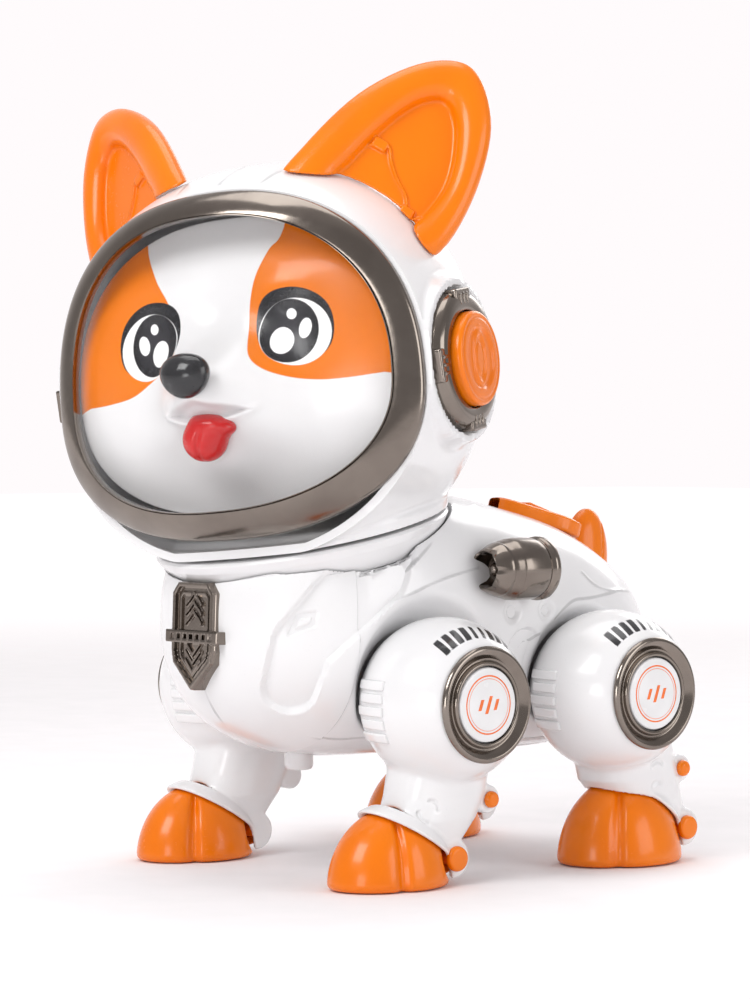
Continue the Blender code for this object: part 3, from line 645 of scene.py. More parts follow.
def make_piece(name: str, points: Array, faces: Array, body: Body, material: bpy.types.Material,
               fields: dict[str, Array] | None = None, sharp: float = 40.0) -> bpy.types.Object:
    """Makes one finished piece from points in the dog's frame.

    Args:
        name: the piece's name.
        points: its points in millimetres.
        faces: its faces.
        body: what it rides on and stands for.
        material: its finish.
        fields: values kept at its points.
        sharp: the edge angle in degrees from which shading breaks.

    Returns:
        The piece.
    """
    points, faces, first = weld(points, np.asarray(faces))
    mesh = bpy.data.meshes.new(name)
    mesh.from_pydata(((points + ORIGIN) * MM).tolist(), [], faces)
    bm = bmesh.new()
    bm.from_mesh(mesh)
    if bm.calc_volume(signed=True) < 0:
        mesh.flip_normals()
    bm.free()
    for key, values in (fields or {}).items():
        values = values.reshape(-1)[first].astype(np.float32)
        mesh.attributes.new(key, "FLOAT", "POINT").data.foreach_set("value", values)
    mesh.shade_smooth()
    if sharp < 180:
        mesh.set_sharp_from_angle(angle=math.radians(sharp))
    return dress(name, mesh, body, material)


def dress(name: str, mesh: bpy.types.Mesh, body: Body, material: bpy.types.Material) -> bpy.types.Object:
    """Puts a finished mesh into the scene as a piece of a body."""
    made = bpy.data.objects.new(name, mesh)
    bpy.context.scene.collection.objects.link(made)
    mesh.materials.clear()
    mesh.materials.append(material)
    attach(made, body.name)
    if body.replaces:
        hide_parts(*body.replaces)
    log.info("%s: %d faces on %s", name, len(mesh.polygons), body.name)
    return made


@dataclass(frozen=True)
class Turned:
    """A profile of (radius, height) turned about its own Z, its outer side running downwards."""

    profile: tuple
    steps: int = 96
    soft: float = 0.25

    def mesh(self, place: Matrix) -> bpy.types.Mesh:
        """Turns the profile and sets it in place.

        Args:
            place: the matrix from the profile's frame to the dog's frame, in millimetres.

        Returns:
            The mesh in metres.
        """
        source = bpy.data.meshes.new("profile")
        points = [(r, 0.0, z) for r, z in self.profile]
        edges = [(i, i + 1) for i in range(len(points) - 1)]
        if self.profile[0][0] > 0:
            edges.append((len(points) - 1, 0))
        source.from_pydata(points, edges, [])
        holder = bpy.data.objects.new("profile", source)
        bpy.context.scene.collection.objects.link(holder)
        bevel = holder.modifiers.new("soften", "BEVEL")
        bevel.affect = "VERTICES"
        bevel.width = self.soft
        bevel.segments = 3
        screw = holder.modifiers.new("turn", "SCREW")
        screw.steps = screw.render_steps = self.steps
        screw.use_merge_vertices = True
        screw.merge_threshold = 1e-4
        graph = bpy.context.evaluated_depsgraph_get()
        mesh = bpy.data.meshes.new_from_object(holder.evaluated_get(graph))
        bpy.data.objects.remove(holder)
        bm = bmesh.new()
        bm.from_mesh(mesh)
        bmesh.ops.remove_doubles(bm, verts=bm.verts, dist=1e-4)
        bmesh.ops.recalc_face_normals(bm, faces=bm.faces)
        bmesh.ops.transform(bm, matrix=place, verts=bm.verts)
        bmesh.ops.translate(bm, vec=ORIGIN, verts=bm.verts)
        bmesh.ops.scale(bm, vec=(MM, MM, MM), verts=bm.verts)
        if bm.calc_volume(signed=True) < 0:
            bmesh.ops.reverse_faces(bm, faces=bm.faces)
        bm.to_mesh(mesh)
        bm.free()
        mesh.shade_smooth()
        mesh.set_sharp_from_angle(angle=math.radians(50))
        return mesh

    def piece(self, name: str, place: Matrix, body: Body, material: bpy.types.Material) -> bpy.types.Object:
        """Makes the turned piece."""
        return dress(name, self.mesh(place), body, material)


def stand(at: Sequence, turn: Matrix | None = None) -> Matrix:
    """A place in the dog's frame from a point and a turn."""
    return Matrix.Translation(Vector(at)) @ (turn.to_4x4() if turn else Matrix())


def swing(degrees: float, axis: str | Vector) -> Matrix:
    """A turn about an axis."""
    return Matrix.Rotation(math.radians(degrees), 4, axis)


def moved(points: Array, place: Matrix) -> Array:
    """Points taken from a place's own frame to the dog's frame."""
    m = np.array(place)
    return points @ m[:3, :3].T + m[:3, 3]


def local(points: Array, place: Matrix) -> Array:
    """Points taken from the dog's frame to a place's own frame."""
    return moved(points, place.inverted())


# ------------------------------------------------------------------ torso

NECK_LEAN = 12.3
NECK_AXIS = Vector((0, -math.sin(math.radians(NECK_LEAN)), math.cos(math.radians(NECK_LEAN))))
HEAD_AT = joint_at("head_turn")
NECK_DROP = 42.66
NECK = stand(HEAD_AT - np.array(NECK_AXIS) * NECK_DROP, swing(NECK_LEAN, "X"))
HIP = joint_at("hip_front_left") * (1.0, -1.0, 1.0)


@dataclass
class Relief:
    """Raised panels, studs and seam lines of one skin, worked out on its left side."""

    panels: list = field(default_factory=list)
    lines: list = field(default_factory=list)
    boldness: float = 1.7

    def strap(self, line: Sequence, widths: Sequence, height: float, soft: float = 1.1) -> None:
        """Adds a raised band along a line.

        Args:
            line: the band's middle.
            widths: its half widths at those points.
            height: how far it stands out.
            soft: the width of its rounded edge.
        """
        self.panels.append((np.array(line, float), np.array(widths, float), height, soft))

    def stud(self, at: Sequence, radius: float, height: float, soft: float = 0.9) -> None:
        """Adds a raised disc."""
        self.strap([at, at], [radius, radius], height, soft)

    def seam(self, line: Sequence, width: float = 0.45, depth: float = 0.4) -> None:
        """Adds a moulded line."""
        self.lines.append((eased(line, False, 5), width, depth))

    def heights(self, p: Array) -> tuple[Array, Array]:
        """How far the skin stands out at its points, and how near each is to a line.

        Args:
            p: the points.

        Returns:
            The heights and the distances to the nearest line.
        """
        q = np.concatenate([np.abs(p[..., :1]), p[..., 1:]], -1)
        height, near = np.zeros(p.shape[:-1]), np.full(p.shape[:-1], 9.0)
        for line, widths, rise, soft in self.panels:
            inside = step(-line_distance(q, line, widths), -soft / 2, soft / 2)
            height = height + self.boldness * rise * inside
        for line, width, depth in self.lines:
            away = line_distance(q, line)
            near = np.minimum(near, away)
            height = height - depth * np.exp(-(away / width) ** 2)
        return height, near


def torso_relief() -> Relief:
    """The body's straps, buttons, studs and seams."""
    relief = Relief()
    relief.strap([(37.0, -43.0, 96.0), (38.0, -49.0, 86.0), (35.5, -60.5, 76.5), (30.0, -69.0, 66.0),
                  (26.0, -70.5, 53.5)], (8.5, 9.6, 9.4, 8.4, 7.6), 1.1)
    relief.strap([(38.0, -49.4, 84.6), (38.9, -44.6, 88.0)], (4.3, 4.3), 0.9, 0.8)
    relief.strap([(38.2, -48.4, 85.3), (38.8, -45.6, 87.3)], (2.7, 2.7), -0.6, 0.5)
    relief.strap([(38.3, -47.9, 85.7), (38.7, -46.1, 86.9)], (1.5, 1.5), 0.7, 0.5)
    relief.stud((39.3, -38.0, 89.8), 2.3, 0.9)
    for y in (0.9, 14.9):
        relief.stud((38.9, y, 73.3), 3.3, 0.35, 0.8)
        relief.stud((38.9, y + 0.5, 73.2), 1.8, 0.7, 0.7)
    relief.strap([(28.6, -72.3, 69.2), (32.4, -67.0, 71.5), (32.6, -66.4, 74.6), (30.2, -70.8, 73.8),
                  (28.6, -72.3, 69.2)], (0.8,) * 5, 0.55, 0.7)
    relief.strap([(38.5, 6.8, 61.0), (37.5, 6.4, 48.0), (33.0, 6.0, 38.0)], (7.2, 6.2, 5.6), 0.9)
    relief.seam([(36.8, 2.0, 44.0), (38.3, 2.8, 56.0), (38.6, 5.0, 63.5), (38.4, 9.6, 65.0),
                 (38.2, 12.4, 66.5)])
    relief.seam([(39.4, -47.0, 77.0), (40.8, -37.6, 80.0), (40.6, -32.0, 81.9), (40.2, -22.9, 84.2),
                 (38.7, -12.5, 86.0)], 0.6, 0.5)
    relief.seam([(20.0, 3.0, 103.5), (30.0, -16.0, 99.0), (38.0, -29.9, 92.7), (40.1, -41.1, 84.7),
                 (39.6, -47.0, 79.7)], 0.6, 0.5)
    relief.seam([(33.3, 33.0, 83.5), (34.8, 37.0, 80.0), (34.0, 44.0, 78.2), (28.5, 56.0, 77.3),
                 (20.0, 66.0, 76.0)])
    relief.seam([(37.8, 19.5, 70.6), (37.5, 22.5, 73.6), (36.8, 27.0, 75.8), (36.2, 33.7, 76.2),
                 (34.2, 43.3, 77.2), (31.0, 51.0, 78.0)])
    relief.seam([(20.5, -60.0, 39.6), (22.5, -51.4, 38.6), (24.9, -42.5, 39.0), (24.5, -36.0, 38.2)])
    relief.seam([(14.0, 26.0, 103.2), (19.5, 38.0, 98.0), (21.0, 50.0, 91.0), (15.0, 60.0, 87.0)])
    relief.seam([(0.0, -82.4, 61.0), (0.0, -72.0, 41.3), (0.0, -56.0, 34.5), (0.0, -40.0, 32.0),
                 (0.0, -20.0, 31.5), (0.0, -7.0, 31.1)], 0.4, 0.3)
    relief.seam([(0.0, 0.0, 107.0), (0.0, 12.0, 105.3), (0.0, 24.0, 102.7)], 0.4, 0.3)
    relief.seam([(0.0, 66.5, 83.4), (0.0, 75.0, 74.0), (0.0, 78.7, 62.0), (0.0, 75.0, 49.5),
                 (0.0, 67.0, 40.5), (0.0, 55.0, 34.0), (0.0, 48.0, 32.4)], 0.4, 0.3)
    return relief


@dataclass
class Torso:
    """The two halves of the body shell with everything fixed to them."""

    palette: Palette
    pitch: float = 0.62
    wall: float = 1.8
    arch: float = 24.2
    flare: float = 29.0

    # Station along the body: y, half width, belly height, back height, upper roundness.
    STATIONS = ((-82.3, 0.0, 71.5, 71.5, 2.2), (-81.5, 10.0, 61.0, 82.0, 2.2),
                (-78.0, 22.0, 50.0, 92.0, 2.4), (-70.0, 31.0, 41.0, 99.0, 2.8),
                (-56.0, 38.0, 34.5, 105.0, 3.2), (-40.0, 41.0, 32.0, 107.5, 3.2),
                (-20.0, 41.0, 31.5, 108.0, 3.0), (0.0, 39.0, 31.0, 107.0, 2.6),
                (20.0, 38.0, 31.0, 103.5, 2.3), (40.0, 37.0, 31.5, 98.5, 2.2),
                (55.0, 33.0, 34.0, 91.5, 2.2), (67.0, 25.0, 40.5, 83.0, 2.2),
                (75.0, 14.0, 49.5, 74.0, 2.2), (78.0, 7.0, 55.0, 69.0, 2.2),
                (78.8, 0.0, 62.0, 62.0, 2.2))

    def rows(self, pitch: float) -> Array:
        """The stations smoothed and spaced evenly along the body's profile."""
        fine = eased(self.STATIONS, False, 24)
        run = np.r_[0, np.cumsum(np.hypot(np.diff(fine[:, 0]), np.diff(fine[:, 1])))]
        at = np.linspace(0, run[-1], int(run[-1] / pitch))
        rows = np.stack([np.interp(at, run, fine[:, k]) for k in range(5)], 1)
        rows[:, 1] = np.maximum(rows[:, 1], 0)
        return rows

    def half_skin(self, rows: Array, columns: int, grow: float) -> Array:
        """The left half's skin, from the belly's middle line round to the back's.

        Args:
            rows: the stations.
            columns: points to a section.
            grow: how far outside the shape it lies.

        Returns:
            The skin's points, rows by columns by three.
        """
        angle = np.linspace(-math.pi / 2, math.pi / 2, 721)
        skin = []
        middle = rows[:, 0].mean()
        for y, half, low, high, upper in rows:
            half, tall = max(half + grow, 0.0), max((high - low) / 2 + grow, 0.0)
            power = np.where(angle > 0, 2 / upper, 2 / 2.2)
            x = half * np.abs(np.cos(angle)) ** power
            z = tall * np.sign(angle) * np.abs(np.sin(angle)) ** power
            x[0] = x[-1] = 0.0
            run = np.r_[0, np.cumsum(np.hypot(np.diff(x), np.diff(z)))]
            at = np.linspace(0, run[-1], columns)
            ring = [np.interp(at, run, v) if run[-1] else np.full(columns, v[0]) for v in (x, z)]
            shift = grow * np.sign(y - middle) * min(1.0, abs(y - middle) / 60)
            skin.append(np.stack([ring[0], np.full(columns, y + shift), (low + high) / 2 + ring[1]], 1))
        return np.array(skin)

    def shaped(self, skin: Array, grow: float) -> Array:
        """Presses the leg arches and the neck seat into a skin.

        Args:
            skin: the skin's points.
            grow: how far outside the true skin they lie.

        Returns:
            The pressed points.
        """
        p = skin.copy()
        for end in (-1, 1):
            off = np.hypot(p[..., 1] - end * HIP[1], p[..., 2] - HIP[2])
            radius = self.arch - grow
            ball = HIP[0] - np.sqrt(np.maximum(radius ** 2 - off ** 2, 0)) + 8 * np.maximum(off - radius, 0)
            cone = 40.4 + grow - 0.9 * (self.flare - off)
            limit = np.minimum(ball, np.where(off < self.flare + 9, cone, 99.0))
            p[..., 0] = np.where(p[..., 0] > 6, smooth_min(p[..., 0], np.maximum(limit, 0), 1.6), p[..., 0])
        p[..., 1] = np.where(p[..., 1] > 70, 70 + 0.88 * (p[..., 1] - 70), p[..., 1])
        q = local(p, NECK)
        out = np.hypot(q[..., 0], q[..., 1])
        seat = np.where(out < 42.6, np.interp(out, (0, 35.8, 42.6), (-10.2, -10.2, -2.0)), -0.9) + grow
        q[..., 2] = np.minimum(q[..., 2], smooth_min(q[..., 2], seat, 0.5))
        return moved(q, NECK)

    def collar_recess(self, p: Array) -> Array:
        """The sunk lens under the chin side of the collar, with two raised strokes."""
        x, z = np.abs(p[..., 0]), p[..., 2]
        lens = (3.3 * (1 - (x / 27.0) ** 2) - np.abs(z - 88.0 + 0.004 * x * x)) * (p[..., 1] < -55)
        sunk = -0.9 * step(lens, -0.3, 0.7)
        strokes = 0.0
        for z0, start, end in ((89.0, 4.0, 15.0), (86.6, 0.0, 9.0)):
            bar = np.maximum(np.abs(z - z0) - 0.55, np.maximum(start - x, x - end))
            strokes = strokes + 0.8 * step(-bar * (p[..., 1] < -55), -0.25, 0.25)
        return sunk + strokes

    def build(self) -> None:
        """Makes both halves and the pieces that stand on them."""
        rows = self.rows(self.pitch)
        outer = self.half_skin(rows, 196, 0.0)
        normal = np.cross(np.gradient(outer, axis=1), np.gradient(outer, axis=0))
        normal /= np.maximum(np.linalg.norm(normal, axis=-1, keepdims=True), 1e-9)
        height, near = torso_relief().heights(outer)
        height = height + self.collar_recess(outer)
        seated = local(outer, NECK)
        clear = 0.9 * np.maximum(np.hypot(seated[..., 0], seated[..., 1]) - 42.0, 0) - seated[..., 2]
        height = height * step(clear, 1.4, 3.8)
        swell = normal * height[..., None]
        swell[:, [0, -1], 0] = 0
        outer = self.shaped(outer + swell, 0.0)
        inner = self.shaped(self.half_skin(rows, 60, -self.wall), -self.wall)[:, ::-1]
        inner[:, :, 1] = np.clip(inner[:, :, 1], rows[0, 0] + self.wall, rows[-1, 0] - self.wall)
        shell = np.concatenate([outer, inner], 1)
        shell[..., 0] += 0.05
        near = np.concatenate([near, np.full(inner.shape[:2], 9.0)], 1)
        points, quads = loft(shell)
        cutter = self.cutter()
        for side, name in ((1, "left"), (-1, "right")):
            piece = make_piece(f"body_half_{name}", points * (side, 1, 1), quads,
                               Body("torso", (f"torso_shell_{name}",)), self.palette.shell, {"seam": near})
            self.cut(piece, cutter)
        bpy.data.objects.remove(cutter)
        self.door(rows)

    def cutter(self) -> bpy.types.Object:
        """One closed tool with the room for the belly door and the power button."""
        bm = bmesh.new()
        lo, hi = (np.array(c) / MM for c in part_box("battery_door"))
        centre, size = (lo + hi) / 2, hi - lo + 0.6
        size[2] = 24.0
        bmesh.ops.create_cube(bm, matrix=Matrix.Translation(centre * MM) @ Matrix.Diagonal((*size * MM, 1)))
        power = [v for v in (np.array(c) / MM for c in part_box("power_button"))]
        at = (power[0] + power[1]) / 2
        bmesh.ops.create_cone(bm, cap_ends=True, segments=48, radius1=4.5 * MM, radius2=4.5 * MM,
                              depth=24 * MM, matrix=Matrix.Translation(at * MM))
        mesh = bpy.data.meshes.new("door_room")
        bm.to_mesh(mesh)
        bm.free()
        made = bpy.data.objects.new("door_room", mesh)
        bpy.context.scene.collection.objects.link(made)
        return made

    def cut(self, piece: bpy.types.Object, tool: bpy.types.Object, operation: str = "DIFFERENCE") -> None:
        """Cuts a piece with a tool and keeps the result as its mesh."""
        change = piece.modifiers.new("cut", "BOOLEAN")
        change.operation = operation
        change.object = tool
        change.solver = "EXACT"
        graph = bpy.context.evaluated_depsgraph_get()
        mesh = bpy.data.meshes.new_from_object(piece.evaluated_get(graph))
        piece.modifiers.remove(change)
        material = piece.data.materials[0]
        piece.data = mesh
        mesh.materials.clear()
        mesh.materials.append(material)

    def door(self, rows: Array) -> None:
        """The belly door: a curved plate that follows the body, with grip ribs.

        Args:
            rows: the body's stations as (y, half width, belly height, back height, roundness).
        """
        lo, hi = (np.array(c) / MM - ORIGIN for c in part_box("battery_door"))
        y = np.linspace(lo[1], hi[1], 120)
        x = np.linspace(lo[0], hi[0], 90)
        grid_x, grid_y = np.meshgrid(x, y)
        half, low, high = (np.interp(grid_y, rows[:, 0], rows[:, k]) for k in (1, 2, 3))
        share = (1 - np.minimum(np.abs(grid_x) / half, 1) ** 2.2) ** (1 / 2.2)
        under = (low + high) / 2 - (high - low) / 2 * share
        rib = np.zeros_like(under)
        for k in range(5):
            rib += 0.5 * np.exp(-((grid_y - hi[1] + 6.0 + 2.6 * k) / 0.6) ** 2) * (np.abs(grid_x) < 9)
        edge = np.minimum.reduce([grid_x - lo[0], hi[0] - grid_x, grid_y - lo[1], hi[1] - grid_y])
        under = under + 0.5 * (1 - step(edge, 0.0, 0.7)) - rib * 0.6
        bottom = np.stack([grid_x, grid_y, under], -1)
        top = np.stack([grid_x, grid_y, under + 1.7], -1)
        points, quads = loft(np.concatenate([bottom, top[:, ::-1]], 1))
        count, wide = len(y), 2 * len(x)
        ends = [[r * wide + i, r * wide + i + 1, r * wide + wide - 2 - i, r * wide + wide - 1 - i]
                for r in (0, count - 1) for i in range(len(x) - 1)]
        make_piece("belly_door", points, np.vstack([quads, ends]), Body("battery_door", ("battery_door",)),
                   self.palette.white)


# ------------------------------------------------------------------ legs

SHIN_X = -2.5


@dataclass(frozen=True)
class Stencil:
    """Plain slanted bars printed on an arc above a hub."""

    inner: float = 17.9
    outer: float = 20.9
    first: float = -38.0
    last: float = 42.0
    bars: int = 9

    def distance(self, y: Array, z: Array) -> Array:
        """The signed distance to the nearest bar in the hub's plane, negative in the ink."""
        radius = np.hypot(y, z)
        angle = np.degrees(np.arctan2(y, z)) + 3.0 * (radius - self.inner) / (self.outer - self.inner)
        pitch = (self.last - self.first) / self.bars
        number = np.clip(np.round((angle - self.first) / pitch - 0.5), 0, self.bars - 1)
        middle = self.first + pitch * (number + 0.5)
        thin = np.where(np.round((middle - self.first) / pitch) % 3 == 1, 0.6, 1.0)
        across = np.radians(np.abs(angle - middle)) * radius - 1.05 * thin
        along = np.abs(radius - (self.inner + self.outer) / 2) - (self.outer - self.inner) / 2
        return np.maximum(across, along)


@dataclass(frozen=True)
class LegShape:
    """Sizes of one pair of legs, measured from the ball's centre."""

    paw_radii: tuple
    knee: tuple
    shin: tuple
    cuff: tuple
    marks: tuple
    toes: tuple
    ball: float = 23.2

    def shin_distance(self, p: Array) -> Array:
        """The distance to the tapering shin."""
        x, y, z = p[..., 0] - SHIN_X, p[..., 1], p[..., 2]
        table = np.array(self.shin)[::-1]
        front, back, half = (np.interp(z, table[:, 0], table[:, k]) for k in (1, 2, 3))
        reach, middle = (back - front) / 2, (front + back) / 2
        level = (np.abs(x / half) ** 2.6 + np.abs((y - middle) / reach) ** 2.6) ** (1 / 2.6)
        return smooth_max((level - 1) * np.minimum(half, reach) * 0.9,
                          np.maximum(z - table[-1, 0] - 3, table[0, 0] - z), 1.0)

    def leg_distance(self, p: Array, paw_y: float, ankle: Sequence) -> Array:
        """The distance to the whole moulded leg.

        Args:
            p: points measured from the ball's centre.
            paw_y: the paw's middle along the body.
            ankle: the heel joint as (y, z).

        Returns:
            The distances.
        """
        x = p[..., 0]
        ground = -HIP[2]
        solid = smooth_min(np.linalg.norm(p, axis=-1) - self.ball, self.shin_distance(p), 1.3)
        paw = ellipsoid(p, (SHIN_X, paw_y, ground), self.paw_radii)
        (y0, z0), (y1, z1) = self.cuff
        run = np.array((y1 - y0, z1 - z0))
        normal = np.array((-run[1], run[0])) / np.linalg.norm(run)
        level = (p[..., 1] - y0) * normal[0] + (p[..., 2] - z0) * normal[1]
        cuff = smooth_max(paw - 1.7, np.abs(level) - 2.1, 0.8)
        cuff = smooth_max(cuff, p[..., 1] - y1, 1.0)
        solid = smooth_min(solid, cuff, 0.6)
        for at, radius, half in ((ankle, 5.4, 8.6), (self.knee, 3.9, 7.7)):
            solid = smooth_min(solid, rod(p, 0, (SHIN_X, *at), radius, half, 0.8), 1.1)
        for y, z, tilt, size in self.marks:
            q = np.stack([(p[..., 1] - y) * math.cos(tilt) + (p[..., 2] - z) * math.sin(tilt),
                          (p[..., 2] - z) * math.cos(tilt) - (p[..., 1] - y) * math.sin(tilt)], -1)
            crescent = np.maximum(np.hypot(q[..., 0], q[..., 1] * 1.5) - size,
                                  0.75 * size - np.hypot(q[..., 0], q[..., 1] * 1.5 + 0.5 * size))
            solid = solid + 0.5 * step(-crescent, -0.1, 0.35) * (x > 3)
        solid = smooth_max(solid, 0.5 - paw, 0.4)
        solid = np.maximum(solid, -rod(p, 0, (SHIN_X, *ankle), 6.4, 4.7))
        solid = smooth_max(solid, x - 17.0, 0.3)
        spacer = rod(p, 0, (-22.0, 0.0, 0.0), 4.0, 1.8, 0.3)
        return smooth_min(np.maximum(solid, -rod(p, 0, (17.0, 0, 0), 13.8, 2.2)), spacer, 0.3)

    def paw_distance(self, p: Array, ankle: Sequence) -> Array:
        """The distance to the paw, measured from its middle on the ground."""
        x, y, z = (p[..., k] for k in range(3))
        facing = np.arctan2(x, -y)
        body = ellipsoid(p, (0, 0, 0), self.paw_radii)
        fade = 1 - step(z / self.paw_radii[2], 0.72, 0.97)
        for toe in self.toes:
            body = body + fade * (1.5 * np.exp(-((facing - toe) / 0.12) ** 2)
                                  + 0.7 * np.exp(-((facing - toe) / 0.34) ** 2))
        body = smooth_max(body, -z, 2.2)
        body = smooth_max(body, -rod(p, 0, (0, *ankle), 5.9, 20.0), 0.4)
        tongue = np.minimum(rod(p, 0, (0, *ankle), 4.6, 4.2, 0.4),
                            box(p, (0, ankle[0] - 4.6, ankle[1] - 1.0), (3.7, 4.5, 2.5), 0.5))
        body = np.minimum(body, np.maximum(tongue, -z))
        return np.maximum(body, -rod(p, 0, (0, *ankle), 2.25, 9.0))

    def vent_distance(self, p: Array) -> Array:
        """The distance to five ribs that lie on the ball's front."""
        out = np.linalg.norm(p, axis=-1) - self.ball - 0.05
        best = np.full(out.shape, 1e9)
        for k in range(5):
            wide = 6.3 - 0.9 * (k % 2)
            q = np.stack([np.abs(p[..., 0] + 4.8 - 0.9 * (k % 2)) - wide,
                          np.abs(p[..., 2] + 9.2 - 3.6 * k) - 1.35, np.abs(out) - 0.75], -1) + 0.45
            rib = np.linalg.norm(np.maximum(q, 0), axis=-1) + np.minimum(q.max(-1), 0) - 0.45
            best = np.minimum(best, rib)
        return np.maximum(best, p[..., 1])


FRONT_LEG = LegShape((14.0, 18.6, 21.3), (12.4, -27.5),
                     ((-10.0, -13.0, 14.0, 11.5), (-20.0, -14.5, 14.5, 11.0), (-26.0, -16.0, 13.5, 10.5),
                      (-32.0, -18.0, 10.0, 10.5), (-38.0, -14.0, 5.0, 9.0), (-41.0, -8.0, 3.5, 8.5)),
                     ((-24.0, -27.6), (-1.5, -40.5)),
                     ((-12.6, -30.6, 2.2, 2.1), (-9.6, -27.6, -0.9, 2.1)), (1.2, -0.9))
REAR_LEG = LegShape((16.0, 20.0, 24.3), (23.5, -23.5),
                    ((-8.0, -10.0, 19.5, 12.0), (-18.0, -8.0, 22.5, 11.5), (-26.0, -6.0, 25.0, 11.0),
                     (-32.0, 0.0, 26.5, 10.5), (-38.0, 10.0, 28.0, 9.0), (-41.0, 18.0, 28.0, 8.5)),
                    ((4.0, -24.4), (24.0, -38.0)),
                    ((10.2, -21.6, 0.2, 2.6), (10.6, -27.2, 0.2, 2.2)), (0.78, -0.9))


@dataclass
class Leg:
    """One leg with its hub, its pins and its paw."""

    tag: str
    palette: Palette
    HUB_RING = Turned(((11.9, 17.2), (12.6, 17.2), (13.6, 18.1), (14.7, 18.9), (15.5, 18.75), (16.0, 18.0),
                       (15.9, 17.3), (13.5, 17.3), (13.5, 15.0), (10.6, 15.0), (10.6, 18.35), (11.3, 18.55),
                       (11.75, 18.1)), 128)
    KNEE_CAP = Turned(((0, 2.4), (1.5, 2.3), (2.2, 1.6), (2.4, 0.5), (0, 0.5)), 48)
    ANKLE_PIN = Turned(((0, 10.7), (2.6, 10.6), (3.2, 10.3), (3.5, 9.6), (3.5, 8.8), (2.0, 8.8),
                        (2.0, -8.4), (0, -8.4)), 64)

    def build(self) -> None:
        """Makes the leg's pieces."""
        tag, paint = self.tag, self.palette
        shape = FRONT_LEG if tag.startswith("front") else REAR_LEG
        side = 1 if tag.endswith("left") else -1
        mirror = np.array((side, 1.0, 1.0))
        hip, heel = joint_at("hip_" + tag), joint_at("heel_" + tag)
        ankle = (heel - hip)[1:]
        paw_box = [np.array(c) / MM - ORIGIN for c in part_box("paw_" + tag)]
        paw_y = paw_box[0][1] + shape.paw_radii[1] - hip[1]
        body, paw_body = "leg_" + tag, "paw_" + tag
        outward = swing(90.0 * side, "Y")

        low, high = (-24.6, min(-24.5, paw_y - 21.0), -48.5), (17.6, max(31.0, paw_y + 18.0), 24.2)
        points, faces = surface_net(lambda p: shape.leg_distance(p, paw_y, ankle), low, high, 0.58)
        ink = Stencil().distance(-points[:, 1], points[:, 2])
        ink = np.where(points[:, 0] > 4, ink, 9.0)
        make_piece("leg_shell_" + tag, points * mirror + hip, faces, Body(body, ("leg_" + tag,)),
                   paint.leg, {"ink": ink}, 180)
        points, faces = surface_net(shape.vent_distance, (-12.2, -25.0, -11.5), (2.4, -15.0, 8.0), 0.34)
        make_piece("vent_ribs_" + tag, points * mirror + hip, faces, Body(body), paint.white, None, 180)

        self.HUB_RING.piece("hub_bezel_" + tag, stand(hip, outward),
                            Body(body, ("hub_ring_" + tag,), Slot.METAL), paint.metal)
        self.hub_badge(hip, side, body)
        knee = hip + np.array((side * (SHIN_X + 7.6), *shape.knee))
        self.KNEE_CAP.piece("knee_button_" + tag, stand(knee, outward),
                            Body(body, ("knee_cap_" + tag,), Slot.ORANGE), paint.orange)
        self.ANKLE_PIN.piece("heel_pin_" + tag, stand(heel, outward),
                             Body(body, ("ankle_pin_" + tag,), Slot.ORANGE), paint.orange)

        rx, ry, rz = shape.paw_radii
        centre = hip + np.array((side * SHIN_X, paw_y, -HIP[2]))
        points, faces = surface_net(lambda p: shape.paw_distance(p, (heel - centre)[1:]),
                                    (-rx - 1, -ry - 1, -0.6), (rx + 1, ry + 5, rz + 1), 0.5)
        points[:, 2] = np.maximum(points[:, 2], 0.0)
        make_piece("paw_shell_" + tag, points * mirror + centre, faces,
                   Body(paw_body, ("paw_" + tag,), Slot.ORANGE), paint.orange, None, 180)

    def hub_badge(self, hip: Array, side: int, body: str) -> None:
        """A slightly domed disc with two printed rings round three bars.

        Args:
            hip: the ball's centre.
            side: 1 on the left, -1 on the right.
            body: the body that it rides on.
        """
        radii = np.r_[np.linspace(0, 9.7, 62), 10.0, 10.2, 10.2, 6.0, 0.0]
        heights = np.r_[18.75 - 0.3 * (np.linspace(0, 9.7, 62) / 9.7) ** 2, 18.3, 17.9, 14.6, 14.6, 14.6]
        turn = np.linspace(0, 2 * math.pi, 160, endpoint=False)
        y, z = radii[:, None] * np.cos(turn), radii[:, None] * np.sin(turn)
        rings = np.minimum(np.abs(np.hypot(y, z) - 7.9) - 0.22, np.abs(np.hypot(y, z) - 7.1) - 0.1)
        bars = np.full(y.shape, 9.0)
        for offset, half in ((-2.6, 1.5), (0.0, 2.4), (2.6, 1.5)):
            across = np.abs(y * 0.94 - z * 0.34 - offset) - 0.55
            bars = np.minimum(bars, np.maximum(across, np.abs(z) - half))
        rows = np.stack([np.broadcast_to(heights[:, None], y.shape) * side, y * side, z], -1)
        points, quads = loft(rows)
        make_piece("hub_disc_" + self.tag, points + hip, quads,
                   Body(body, ("hub_badge_" + self.tag,), Slot.BADGE), self.palette.hub,
                   {"print": np.minimum(rings, bars)})


# ------------------------------------------------------------------ head

HEAD_TURN = 24.1
HEAD = stand(HEAD_AT, swing(HEAD_TURN, NECK_AXIS))
SEAM = HEAD @ stand(-NECK_AXIS * NECK_DROP, swing(NECK_LEAN, "X"))


